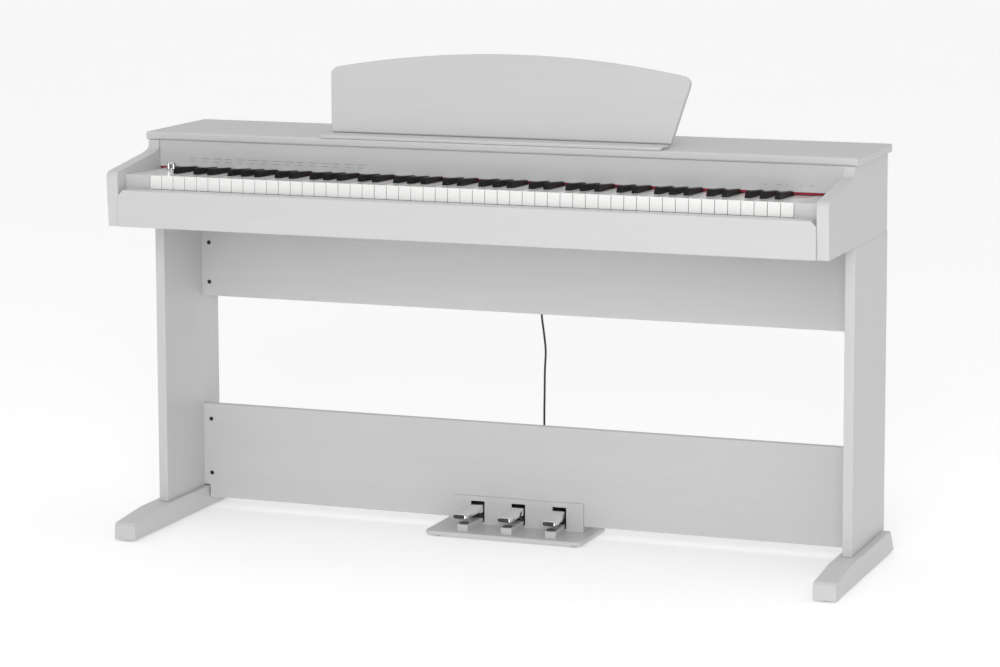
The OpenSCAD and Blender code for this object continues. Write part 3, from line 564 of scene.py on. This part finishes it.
def makeFeltStrip():                   # round-edged strip whose rim wanders like cut felt
    low, high = corners("felt_strip")
    f = feltStrip
    outline = roundedOutline([(low[1], low[2]), (high[1], low[2]), (high[1], high[2]), (low[1], high[2])],
                             f["round"], 3)
    x = np.linspace(low[0], high[0], f["steps"])
    rng = np.random.default_rng(7)
    wander = rng.normal(0, f["fuzz"] * 0.5, (f["steps"], len(outline), 2))
    grid = np.zeros((f["steps"], len(outline), 3))
    grid[..., 0] = x[:, None]
    grid[..., 1:] = outline[None] + wander
    grid[..., 2] = np.minimum(grid[..., 2], high[2])
    addPiece("felt_strip_cloth", closedTube(grid), felt, replaces=["felt_strip"], sharp=80)


makeFeltStrip()

panelMarks = {
    "columns": 15, "firstX": -598, "pitch": 24.4, "rows": (708.6, 702.7), "height": 1.1,
    "right": [(515, 523), (541, 550), (557, 561), (584, 587), (600, 609)], "rightZ": 703.7, "proud": 0.12,
}


def makeMarks():                       # plain dashes, no letters
    m = panelMarks
    face = corners("control_panel")[0][1]
    dashes = []
    for k in range(m["columns"]):
        x = m["firstX"] + k * m["pitch"]
        long, short = 13 + 5 * ((k * 7) % 3) / 2, 8 + 4 * ((k * 5) % 4) / 3
        dashes.append((x, x + long, m["rows"][0]))
        dashes.append((x + 1, x + 1 + short, m["rows"][1]))
    dashes += [(a, b, m["rightZ"]) for a, b in m["right"]]
    shapes = [softBox((a * mm, face - m["proud"] * mm, (z - m["height"] / 2) * mm),
                      (b * mm, face + 0.05 * mm, (z + m["height"] / 2) * mm), 0.04 * mm, 0.3 * mm, 1, 1)
              for a, b, z in dashes]
    addPiece("panel_marks", gather(shapes), greyPrint)


makeMarks()

keyboard = {
    "pitch": 23.5 * mm, "gap": 1.0 * mm, "count": 52, "reach": 216 * mm, "head": 49 * mm,
    "headDepth": 25 * mm, "tailDepth": 14 * mm, "tailBack": 6 * mm, "topZ": 691 * mm,
    "tilt": 2.0, "pivotY": 30 * mm, "over": 8 * mm,  # over is the key's top above its pivot
    "blackWidth": 10 * mm, "blackPlay": 1 * mm, "blackRise": 12 * mm, "blackLength": 86 * mm,
    "blackDrop": 4 * mm, "blackRake": 6 * mm, "blackEdge": 1.5 * mm, "edge": 0.9 * mm,
    "two": 28 * mm, "three": 27 * mm,  # pitch of the black keys in the groups of two and of three
    "underMiddle": 23,                 # white keys below middle C
}
kb = keyboard
keysLeft = -kb["count"] * kb["pitch"] / 2
pivotZ = kb["topZ"] - kb["over"] - kb["reach"] * math.sin(math.radians(kb["tilt"]))


def onPivot(points):                   # from a key's own frame, pivot at zero, to the piano's
    t = math.radians(kb["tilt"])
    x, y, z = points[..., 0], points[..., 1], points[..., 2]
    return np.stack([x, y * math.cos(t) + z * math.sin(t) + kb["pivotY"],
                     z * math.cos(t) - y * math.sin(t) + pivotZ], -1)


def letterOf(k):                       # C is 0, B is 6; the first key is an A
    return (k + 5) % 7


def blackCentre(k):                    # centre of the black key to the right of white key k
    letter = letterOf(k)
    octave = keysLeft + kb["pitch"] * (k - letter)
    if letter < 2:
        return octave + 1.5 * kb["pitch"] + (letter - 0.5) * kb["two"]
    return octave + 5 * kb["pitch"] + (letter - 4) * kb["three"]


def hasBlack(k):
    return letterOf(k) not in (2, 6)


def sectionLoft(stations, steps=3):
    # stations of (y, left, right, bottom, top, top radius, bottom radius): a rectangle with four round
    # corners at each, joined lengthwise
    s = np.array(stations, float)
    y, x0, x1, z0, z1, rt, rb = (s[:, k:k + 1] for k in range(7))
    a = np.linspace(0, np.pi / 2, steps + 1)[None]
    c, d = np.cos(a), np.sin(a)
    xs = np.concatenate([x1 - rt + rt * c, x0 + rt - rt * d, x0 + rb - rb * c, x1 - rb + rb * d], 1)
    zs = np.concatenate([z1 - rt + rt * d, z1 - rt + rt * c, z0 + rb - rb * d, z0 + rb - rb * c], 1)
    return closedTube(np.stack([xs, np.repeat(y, xs.shape[1], 1), zs], -1))


def whiteKey(k):
    # a head, then a tail cut back to clear the black keys; the front rim follows a quarter circle
    half = kb["blackWidth"] / 2 + kb["blackPlay"]
    x0 = keysLeft + k * kb["pitch"] + kb["gap"] / 2
    x1 = x0 + kb["pitch"] - kb["gap"]
    t0 = blackCentre(k - 1) + half if k > 0 and hasBlack(k - 1) else x0
    t1 = blackCentre(k) - half if k < kb["count"] - 1 and hasBlack(k) else x1
    e, top, front = kb["edge"], kb["over"], -kb["reach"]
    low, tailLow = top - kb["headDepth"], top - kb["tailDepth"]
    split, end = front + kb["head"], kb["tailBack"]
    a = np.linspace(0, np.pi / 2, 4)
    nose = [(front + e * (1 - math.cos(t)), x0 + 0.35 * e * (1 - math.sin(t)),
             x1 - 0.35 * e * (1 - math.sin(t)), low, top - e * (1 - math.sin(t)),
             e * (0.35 + 0.65 * math.sin(t)), 0.3 * mm) for t in a]
    body = [(split - 0.4 * mm, x0, x1, low, top, e, 0.3 * mm),
            (split, x0 + 0.3 * mm, x1 - 0.3 * mm, low, top - 0.1 * mm, e, 0.3 * mm),
            (split + 0.02 * mm, t0, t1, tailLow, top - 0.1 * mm, e * 0.7, 0.3 * mm),
            (split + 0.5 * mm, t0, t1, tailLow, top, e * 0.7, 0.3 * mm),
            (end - 0.5 * mm, t0, t1, tailLow, top, e * 0.7, 0.3 * mm),
            (end, t0 + 0.4 * mm, t1 - 0.4 * mm, tailLow, top - 0.4 * mm, 0.3 * mm, 0.3 * mm)]
    points, faces = sectionLoft(nose + body)
    return onPivot(points), faces


def blackKey(k):
    # wide foot, narrower cap: the sides lean in, the front leans back, the top drops to the rear
    x, w, e = blackCentre(k), kb["blackWidth"] / 2, kb["blackEdge"]
    front = -kb["reach"] + kb["head"] + kb["blackPlay"]
    back = front + kb["blackLength"]
    low, foot, top = kb["over"] - kb["tailDepth"], kb["over"] - 1 * mm, kb["over"] + kb["blackRise"]
    drop, rake = kb["blackDrop"], kb["blackRake"]
    t = np.linspace(0, 1, 7)
    start = [(front, x - w, x + w, low, foot - 0.3 * mm, 0.4 * mm, 0.3 * mm)]
    rise = [(front + rake * s + 0.1 * mm, x - w + 0.55 * mm * s, x + w - 0.55 * mm * s, low,
             foot + (top - foot) * (1 - (1 - s) ** 2.2), 0.5 * mm + (e - 0.5 * mm) * s, 0.3 * mm) for s in t[1:]]
    cap = [(front + rake + 6 * mm, x - w + 0.6 * mm, x + w - 0.6 * mm, low, top - 0.25 * mm, e, 0.3 * mm),
           (back - 2 * mm, x - w + 0.6 * mm, x + w - 0.6 * mm, low, top - drop, e, 0.3 * mm),
           (back, x - w + 0.8 * mm, x + w - 0.8 * mm, low, top - drop - 0.8 * mm, e, 0.3 * mm),
           (back + 0.1 * mm, x - w + 0.8 * mm, x + w - 0.8 * mm, low, foot - 1 * mm, 0.4 * mm, 0.3 * mm),
           (kb["tailBack"], x - w + 0.8 * mm, x + w - 0.8 * mm, low, foot - 1 * mm, 0.4 * mm, 0.3 * mm)]
    points, faces = sectionLoft(start + rise + cap)
    return onPivot(points), faces


def makeKeys():
    middle = kb["underMiddle"]
    addPiece("lower_white_key_tops", gather([whiteKey(k) for k in range(middle)]), keyWhite, "lower_white_keys",
             ["lower_white_keys"])
    addPiece("upper_white_key_tops", gather([whiteKey(k) for k in range(middle + 7, kb["count"])]), keyWhite,
             "upper_white_keys", ["upper_white_keys"])
    addPiece("lower_black_key_tops", gather([blackKey(k) for k in range(middle) if hasBlack(k)]), keyBlack,
             "lower_black_keys", ["lower_black_keys"])
    upper = [blackKey(k) for k in range(middle + 7, kb["count"] - 1) if hasBlack(k)]
    addPiece("upper_black_key_tops", gather(upper), keyBlack, "upper_black_keys",
             ["upper_black_keys"])
    for letter, name in enumerate("cdefgab"):
        white = "white_key_" + name + "4"
        addPiece(white + "_top", whiteKey(middle + letter), keyWhite, white, [white])
        if hasBlack(middle + letter):
            black = "black_key_" + name + "s4"
            addPiece(black + "_top", blackKey(middle + letter), keyBlack, black, [black])


makeKeys()
print("keys done")

musicRest = {
    "lean": 25.0,                      # degrees back from upright
    "footWidth": 660 * mm, "width": 702 * mm, "shoulder": 130 * mm, "height": 162 * mm,
    "shoulderRound": 14 * mm, "rim": 2.4 * mm, "thick": 12 * mm, "footY": 4 * mm,
    "footLift": 7 * mm, "archSteps": 64,
}


def makeMusicRest():                   # the arch's radius is (half span squared + rise squared) / twice the rise
    m = musicRest
    half, rise = m["width"] / 2, m["height"] - m["shoulder"]
    span = half - m["shoulderRound"]
    radius = (span ** 2 + rise ** 2) / (2 * rise)
    swing = math.degrees(math.asin(span / radius))
    arch = arcPoints(0, m["height"] - radius, radius, 90 - swing * 0.985, 90 + swing * 0.985, m["archSteps"])
    right = arcPoints(span, m["shoulder"] - m["shoulderRound"] - 0.5 * mm, m["shoulderRound"], -8, 76, 8)
    left = right[::-1] * [-1, 1]
    foot = roundedOutline([(-m["footWidth"] / 2, 0), (m["footWidth"] / 2, 0), (half, m["shoulder"] * 0.8),
                           (-half, m["shoulder"] * 0.8)], 3 * mm)[:10]
    outline = np.concatenate([foot, right, arch, left])
    points, faces = softPrism(outline, 0, m["thick"], m["rim"], 1, 4)
    t = math.radians(m["lean"])
    x, y, z = points.T
    footZ = corners("lid")[1][2] + m["footLift"]
    leaned = np.stack([x, m["footY"] + y * math.cos(t) + z * math.sin(t),
                       footZ - y * math.sin(t) + z * math.cos(t)], 1)
    addPiece("music_board_panel", (leaned, faces), boardAlongX, "music_rest", replaces=["music_board"])
    low, high = corners("music_ledge")
    outline = roundedOutline([(low[1], low[2]), (high[1], low[2]), (high[1], high[2]), (low[1], high[2])],
                             [0.6 * mm, 0.6 * mm, 1.5 * mm, 2.6 * mm], 5)
    addPiece("music_ledge_board", softPrism(outline, low[0], high[0], 1.5 * mm, 0), boardAlongX,
             replaces=["music_ledge"])


makeMusicRest()
print("music rest done")

stand = {
    "rim": 1.0 * mm, "footRim": 2.0 * mm, "panelRim": 0.9 * mm,
    "heel": 26 * mm, "toe": 107 * mm,  # length of the foot's rear and front slopes
    "notchPlay": 2.5 * mm, "boxPlay": 0.3 * mm, "boxTopPlay": 0.08 * mm,
    "screwHead": 4 * mm, "screwRises": (155 * mm, 27 * mm),  # of the middle screws over their panels' lower edges
}


def footOutline():                     # flat below, sloping up from the toe and from the heel to a flat top
    low, high = corners("right_foot")
    front, rear, top = low[1], high[1], high[2]
    return roundedOutline([(front, low[2]), (rear, low[2]), (rear - stand["heel"], top),
                           (front + stand["toe"], top),
                           (front + 7 * mm, top - 9 * mm), (front + 1.5 * mm, top - 14 * mm)],
                          [2.2 * mm, 2.2 * mm, 3 * mm, 20 * mm, 2.2 * mm, 2.2 * mm], 5)


def makeStand():
    for side in ("left", "right"):
        low, high = corners(side + "_leg")
        addPiece(side + "_leg_board", softBox(low, high, stand["rim"]), boardAlongZ, replaces=[side + "_leg"])
        low, high = corners(side + "_foot")
        addPiece(side + "_foot_board", softPrism(footOutline(), low[0], high[0], stand["footRim"], 0), boardAlongY,
                 replaces=[side + "_foot"])
    low, high = corners("upper_back_panel")
    addPiece("upper_panel_board", softBox(low, high, stand["panelRim"], axis=1), boardAlongX,
             replaces=["upper_back_panel"])
    low, high = corners("lower_back_panel")
    footLow, footHigh = corners("right_foot")
    notchX, notchZ = footLow[0] - stand["notchPlay"], footHigh[2] + stand["notchPlay"]
    boxLow, boxHigh = corners("pedal_box")
    play, topPlay = stand["boxPlay"], stand["boxTopPlay"]
    outline = roundedOutline([
        (boxHigh[0] + play, low[2]), (notchX, low[2]), (notchX, notchZ), (high[0], notchZ), (high[0], high[2]),
        (low[0], high[2]), (low[0], notchZ), (-notchX, notchZ), (-notchX, low[2]), (boxLow[0] - play, low[2]),
        (boxLow[0] - play, boxHigh[2] + topPlay), (boxHigh[0] + play, boxHigh[2] + topPlay)],
        [1.3 * mm] * 9 + [1.3 * mm, 0.4 * mm, 0.4 * mm])
    addPiece("lower_panel_board", softPrism(outline, low[1], high[1], stand["panelRim"] / 3, 1), boardAlongX,
             replaces=["lower_back_panel"])
    # the brackets' black coat is partly painted shade: it darkens the gap round the foot notches to stand in for
    # the deep shadow behind the lower panel
    softCopy("corner_brackets", 0.3 * mm, blackCoat)


makeStand()


def crossHead(x, y, z, radius):
    # low dome whose height falls with the square of the radius, with a cross cut in
    r = np.concatenate([np.linspace(0, 0.7, 15)[1:], [0.8, 0.9, 0.97, 1.0]]) * radius
    angle = np.linspace(0, 2 * np.pi, 72, endpoint=False)
    a, b = r[:, None] * np.cos(angle), r[:, None] * np.sin(angle)
    dome = 1.2 * mm * (1 - 0.55 * (r[:, None] / radius) ** 2)
    slot = np.maximum((np.abs(a) < 0.42 * mm) * (np.abs(b) < 2.1 * mm),
                      (np.abs(b) < 0.42 * mm) * (np.abs(a) < 2.1 * mm))
    height = dome - 0.75 * mm * slot
    skirt = np.stack([x + a[-1], np.full(72, y - 0.02 * mm), z + b[-1]], -1)[None]
    grid = np.concatenate([np.stack([x + a, y - height, z + b], -1), skirt])
    return closedTube(grid)


def makeScrews():
    low, high = corners("panel_screws")
    headY = corners("upper_back_panel")[0][1]
    r = stand["screwHead"]
    upperZ, lowerZ = corners("upper_back_panel")[0][2], corners("lower_back_panel")[0][2]
    lowerRise, upperRise = stand["screwRises"]
    levels = (low[2] + r, lowerZ + lowerRise, upperZ + upperRise, high[2] - r)
    places = [(s * (high[0] - r), z) for s in (-1, 1) for z in levels]
    heads = [crossHead(x, headY, z, r) for x, z in places]
    shank = [(0, headY + 0.02 * mm), (2.1 * mm, headY + 0.02 * mm), (2.1 * mm, high[1] - 3 * mm),
             (0.3 * mm, high[1]), (0, high[1])]
    shanks = [turned(shank, (x, 0, z), axis=1, steps=20) for x, z in places]
    addPiece("panel_screw_heads", gather(heads + shanks), blackCoat, replaces=["panel_screws"])


makeScrews()


def makeGlides():                      # turned pads with a rounded lower rim
    low, high = corners("foot_glides")
    footLow, footHigh = corners("right_foot")
    x = (footLow[0] + footHigh[0]) / 2
    baseLow, baseHigh = corners("pedal_base")
    middle = (baseLow[0] + baseHigh[0]) / 2 + 3 * mm
    big = [(s * x, y, 12 * mm) for s in (-1, 1) for y in (footLow[1] + 23 * mm, footHigh[1] - 40 * mm)]
    small = [(middle + s * 135 * mm, y, 8 * mm)
             for s in (-1, 1) for y in (baseLow[1] + 18 * mm, baseHigh[1] - 20 * mm)]
    shapes = [turned([(0, 0), (r - 1.2 * mm, 0), (r - 0.3 * mm, 0.5 * mm), (r, 1.3 * mm), (r, high[2]),
                      (0, high[2])], (px, py, 0), steps=40) for px, py, r in big + small]
    addPiece("floor_glides", gather(shapes), rubber, replaces=["foot_glides"])


makeGlides()
print("stand done")

pedalUnit = {
    "offsets": (-82, 0, 82), "splay": 7 / 82, "length": 123 * mm, "tipRound": 14 * mm,
    "neck": 24 * mm, "neckStart": 34 * mm, "neckRun": 38 * mm,  # from the tip, and until it is full
    "crown": 1.2 * mm, "slant": 0.3, "sides": 48,
    "ribWidth": 22 * mm, "baseRim": 1.6 * mm, "plate": 8 * mm,
    "topAlong": (0, 26, 50, 70, 92, 123), "top": (46.0, 47.2, 48.8, 50.6, 51.6, 47.0),
    "underAlong": (0, 24, 44, 66, 87, 89, 123), "under": (36.8, 38.0, 37.6, 33.8, 32.2, 37.6, 36.0),
}


def pedalLean(dx, y):                  # the outer pedals turn outwards in front of the box
    front, tip = corners("pedal_box")[0][1], corners("middle_pedal")[0][1]
    return pedalUnit["splay"] * dx * mm * np.maximum(0, (front - y) / (front - tip))


def pedalShape(x, dx, low, high):
    # stations from the tip to the hub: half width, top and underside heights are smooth curves of the
    # distance from the tip, and the cross-section is a rounded rectangle that grows out of a blunt nose
    p = pedalUnit
    r = p["tipRound"]
    u = np.concatenate([r * (1 - np.cos(np.linspace(0.12, np.pi / 2, 12))),
                        np.linspace(r, p["length"], 60)[1:]])
    wide, neck = (high[0] - low[0]) / 2, p["neck"] / 2
    grow = np.sqrt(np.clip(1 - (1 - np.clip(u / r, 0, 1)) ** 2, 0, 1))
    waist = np.clip((u - p["neckStart"]) / p["neckRun"], 0, 1)
    waist = waist * waist * (3 - 2 * waist)
    half = wide * (0.56 + 0.44 * grow) + (neck - wide) * waist
    top = np.interp(u / mm, p["topAlong"], p["top"]) * mm - 1.6 * mm * (1 - grow)
    under = np.interp(u / mm, p["underAlong"], p["under"]) * mm + 1.0 * mm * (1 - grow)
    a = np.linspace(0, 2 * np.pi, p["sides"], endpoint=False)[None]
    c, s = np.cos(a), np.sin(a)
    square = (0.42 - 0.2 * waist)[:, None]
    px = x + pedalLean(dx, low[1] + u)[:, None] + half[:, None] * np.sign(c) * np.abs(c) ** square
    mid, tall = (top + under) / 2, (top - under) / 2
    pz = mid[:, None] + tall[:, None] * np.sign(s) * np.abs(s) ** (0.6 - 0.25 * waist)[:, None]
    y = low[1] + u[:, None] + p["slant"] * (pz - under[:, None]) * (1 - np.clip(u / r, 0, 1))[:, None]
    lift = p["crown"] * np.clip(1 - c * c, 0, 1) * np.clip(s, 0, 1) * grow[:, None] * (1 - waist[:, None] * 0.8)
    return closedTube(np.stack([px, y, pz + lift], -1))


def makePedals():
    p = pedalUnit
    shaftLow, shaftHigh = corners("pedal_shaft")
    shaft = (shaftLow + shaftHigh) / 2
    tipLow, tipHigh = corners("middle_pedal")
    for name, dx in zip(("left", "middle", "right"), p["offsets"]):
        node, x, w = name + "_pedal", shaft[0] + dx * mm, p["neck"] / 2
        hub = turned([(4.1 * mm, x - w), (7.4 * mm, x - w), (8 * mm, x - w + 0.6 * mm), (8 * mm, x + w - 0.6 * mm),
                      (7.4 * mm, x + w), (4.1 * mm, x + w)], (0, shaft[1], shaft[2]), axis=0, steps=40)
        addPiece(node + "_lever", gather([pedalShape(x, dx, tipLow, tipHigh), hub]), chrome, node,
                 [node], sharp=50)
    low, high = corners("pedal_base")
    plateTop = low[2] + p["plate"]
    outline = roundedOutline([(low[0], low[1]), (high[0], low[1]), (high[0], high[1]), (low[0], high[1])],
                             [12 * mm, 12 * mm, 3 * mm, 3 * mm], 8)
    plate = softPrism(outline, low[2], plateTop, p["baseRim"], 2)
    padLow, padHigh = corners("pedal_pads")
    padY, padRound = (padLow[1] + padHigh[1]) / 2, (padHigh[1] - padLow[1]) / 2
    front, back, w = padY - 9 * mm, corners("pedal_box")[0][1], p["ribWidth"] / 2
    ribs, pads = [], []
    for dx in p["offsets"]:
        x = shaft[0] + dx * mm
        tip = x + float(pedalLean(dx, front))
        sides = roundedOutline([(tip - w, front), (tip + w, front), (x + w, back), (x - w, back)],
                               [2.2 * mm, 2.2 * mm, 0.4 * mm, 0.4 * mm])
        ribs.append(softPrism(sides, plateTop - 0.9 * mm, high[2], 0.8 * mm, 2))
        pads.append(turned([(0, padLow[2]), (padRound, padLow[2]), (padRound, padHigh[2] - 0.8 * mm),
                            (padRound - 0.8 * mm, padHigh[2]), (0, padHigh[2])],
                           (x + float(pedalLean(dx, padY)), padY, 0), steps=36))
    addPiece("pedal_base_plate", gather([plate] + ribs), boardAlongX, replaces=["pedal_base"])
    addPiece("pedal_stop_pads", gather(pads), greyRubber, replaces=["pedal_pads"])
    softCopy("pedal_box", 0.4 * mm, boardAlongX)


makePedals()


spring = {"wire": 0.85 * mm, "inset": 0.9 * mm, "turns": 5.5, "sides": 10}


def makeSprings():                     # a helix that stays level at both ends
    inset = spring["inset"]
    for name in ("left", "middle", "right"):
        node = name + "_pedal_spring"
        low, high = corners(node)
        r = (high[0] - low[0]) / 2 - inset
        t = np.linspace(0, 1, 180)
        rise = np.clip((t - 0.12) / 0.76, 0, 1)
        angle = 2 * np.pi * spring["turns"] * t
        cx, cy = (low[0] + high[0]) / 2, (low[1] + high[1]) / 2
        path = np.stack([cx + r * np.cos(angle), cy + r * np.sin(angle),
                         low[2] + inset + rise * (high[2] - low[2] - 2 * inset)], -1)
        addPiece(node + "_coil", sweptTube(path, spring["wire"], spring["sides"], (0, 0, 1)), zinc,
                 replaces=[node], sharp=60)


makeSprings()
print("pedals done")

smallParts = {
    "knobRibs": 40, "knobRibDepth": 0.45 * mm, "knobHeight": 13 * mm,
    "phoneSocket": (55 * mm, 3.3 * mm, 5.6 * mm),   # place along X, bore and rim radius
    "powerSocket": (-30 * mm, 2.9 * mm, 4.4 * mm),
}


def makeKnob():
    low, high = corners("volume_knob")
    x, y = (low[0] + high[0]) / 2, (low[1] + high[1]) / 2
    r, top = (high[0] - low[0]) / 2, high[2]
    base = top - smallParts["knobHeight"]
    profile = [(0, low[2]), (2.9 * mm, low[2]), (2.9 * mm, base), (r - 0.7 * mm, base),
               (r, base + 0.5 * mm), (r, base + 0.9 * mm)]
    profile += [(r, h) for h in np.linspace(base + 1.1 * mm, top - 1.6 * mm, 6)]
    profile += [(r, top - 1.4 * mm), (r - 0.15 * mm, top - 0.7 * mm), (r - 0.9 * mm, top - 0.1 * mm),
                (r - 1.4 * mm, top), (r - 2.2 * mm, top - 0.35 * mm), (r * 0.4, top - 0.5 * mm),
                (0, top - 0.5 * mm)]
    cap = turned(profile, (x, y, 0), steps=240, ribs=smallParts["knobRibs"],
                 ribDepth=smallParts["knobRibDepth"], ribSpan=(base + 1 * mm, top - 1.5 * mm))
    addPiece("volume_knob_cap", cap, chrome, "volume_knob", ["volume_knob"], sharp=50)
    pointer = softBox((x - 0.5 * mm, y - r + 1.6 * mm, top - 0.52 * mm),
                      (x + 0.5 * mm, y - r + 5 * mm, top - 0.3 * mm), 0.08 * mm, 0.3 * mm, 2, 1)
    addPiece("volume_pointer", pointer, blackPlastic, "volume_knob")


makeKnob()


def makeSockets():
    low, high = corners("power_button")
    x, z, r = (low[0] + high[0]) / 2, (low[2] + high[2]) / 2, (high[0] - low[0]) / 2
    profile = [(0, low[1]), (r - 0.4 * mm, low[1]), (r, low[1] + 0.4 * mm), (r, high[1] - 1 * mm),
               (r - 0.3 * mm, high[1] - 0.3 * mm), (r - 1 * mm, high[1]), (r * 0.5, high[1] - 0.25 * mm),
               (0, high[1] - 0.35 * mm)]
    addPiece("power_button_cap", turned(profile, (x, 0, z), axis=1, steps=48), greyPlastic, "power_button",
             ["power_button"])
    softCopy("socket_panel", 0.35 * mm, blackPlastic)
    back = corners("socket_panel")[1][1]
    rings = [turned([(bore, back - 0.4 * mm), (rim, back - 0.4 * mm), (rim, back + 0.5 * mm),
                     (rim - 0.6 * mm, back + 0.9 * mm), (bore + 0.5 * mm, back + 0.9 * mm), (bore, back + 0.4 * mm),
                     (bore, back - 0.4 * mm)], (px, 0, z), axis=1, steps=48)
             for px, bore, rim in (smallParts["phoneSocket"], smallParts["powerSocket"])]
    pin = turned([(0, back - 9.5 * mm), (1 * mm, back - 9.5 * mm), (1 * mm, back - 1 * mm),
                  (0.5 * mm, back - 0.4 * mm), (0, back - 0.4 * mm)],
                 (smallParts["powerSocket"][0], 0, z), axis=1, steps=20)
    addPiece("socket_rings", gather([(p, f[:-2]) for p, f in rings] + [pin]), nickel)


makeSockets()
print("small parts done")

finishes = {
    "keyboard_frame": zinc, "contact_strips": greyRubber, "circuit_boards": circuitBoard, "speakers": cone,
    "speaker_grilles": blackCoat, "volume_pot": zinc, "fixed_hinge_leaves": nickel, "board_hinge_leaves": nickel,
    "pedal_shaft": zinc,
}
for nodeName, material in finishes.items():
    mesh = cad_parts[nodeName].data
    mesh.materials.clear()
    mesh.materials.append(material)

studio = {
    "floorSize": 40.0, "floorGlow": 0.28,
    "horizon": 0.54, "zenith": 0.88,   # brightness of the room's walls and ceiling
    "wall": 0.90,                      # how much darker the low wall in front of the piano is
    "lamps": {                         # power in watts, size in metres, place, aim
        "key": (112, 2.0, (1.3, -4.6, 1.9), (0, 0, 0.5)),
    },
}


def makeSky():
    f = Sky("studio")
    split = f.node("ShaderNodeTexCoord", output="Generated")
    y, z = (f.number("ShaderNodeSeparateXYZ", None, {"Vector": split}, output) for output in ("Y", "Z"))
    patches = f.number("ShaderNodeTexNoise", None, {"Vector": split, "Scale": 5.0, "Detail": 3.0})
    room = studio["horizon"] + (studio["zenith"] - studio["horizon"]) * z.rise(0.0, 0.85)
    wall = (0.0 - y).rise(0.25, 0.6) * (1 - z.rise(0.34, 0.62)) * patches.rise(0.34, 0.54)
    return f.finish(Color=(1.0, 1.0, 1.0), Strength=room * (1 - wall * studio["wall"]))


def makeStudio():
    s = studio["floorSize"] / 2
    mesh = bpy.data.meshes.new("floor")
    mesh.from_pydata([(-s, -s, 0), (s, -s, 0), (s, s, 0), (-s, s, 0)], [], [(0, 1, 2, 3)])
    mesh.materials.append(makeFloor(studio["floorGlow"]))
    floor = bpy.data.objects.new("floor", mesh)
    bpy.context.scene.collection.objects.link(floor)
    bpy.context.scene.world = makeSky()
    for name, (power, size, place, aim) in studio["lamps"].items():
        data = bpy.data.lights.new(name, "AREA")
        data.energy = power
        data.size = size
        lamp = bpy.data.objects.new(name, data)
        bpy.context.scene.collection.objects.link(lamp)
        ahead = unit(np.array(aim) - np.array(place))
        across = unit(np.cross(ahead, (0, 0, 1)))
        matrix = np.eye(4)
        matrix[:3, 0], matrix[:3, 1] = across, np.cross(across, ahead)
        matrix[:3, 2], matrix[:3, 3] = -ahead, place
        lamp.matrix_world = Matrix(matrix.tolist())
    bpy.context.scene.view_settings.view_transform = "Standard"


makeStudio()
print("studio done")
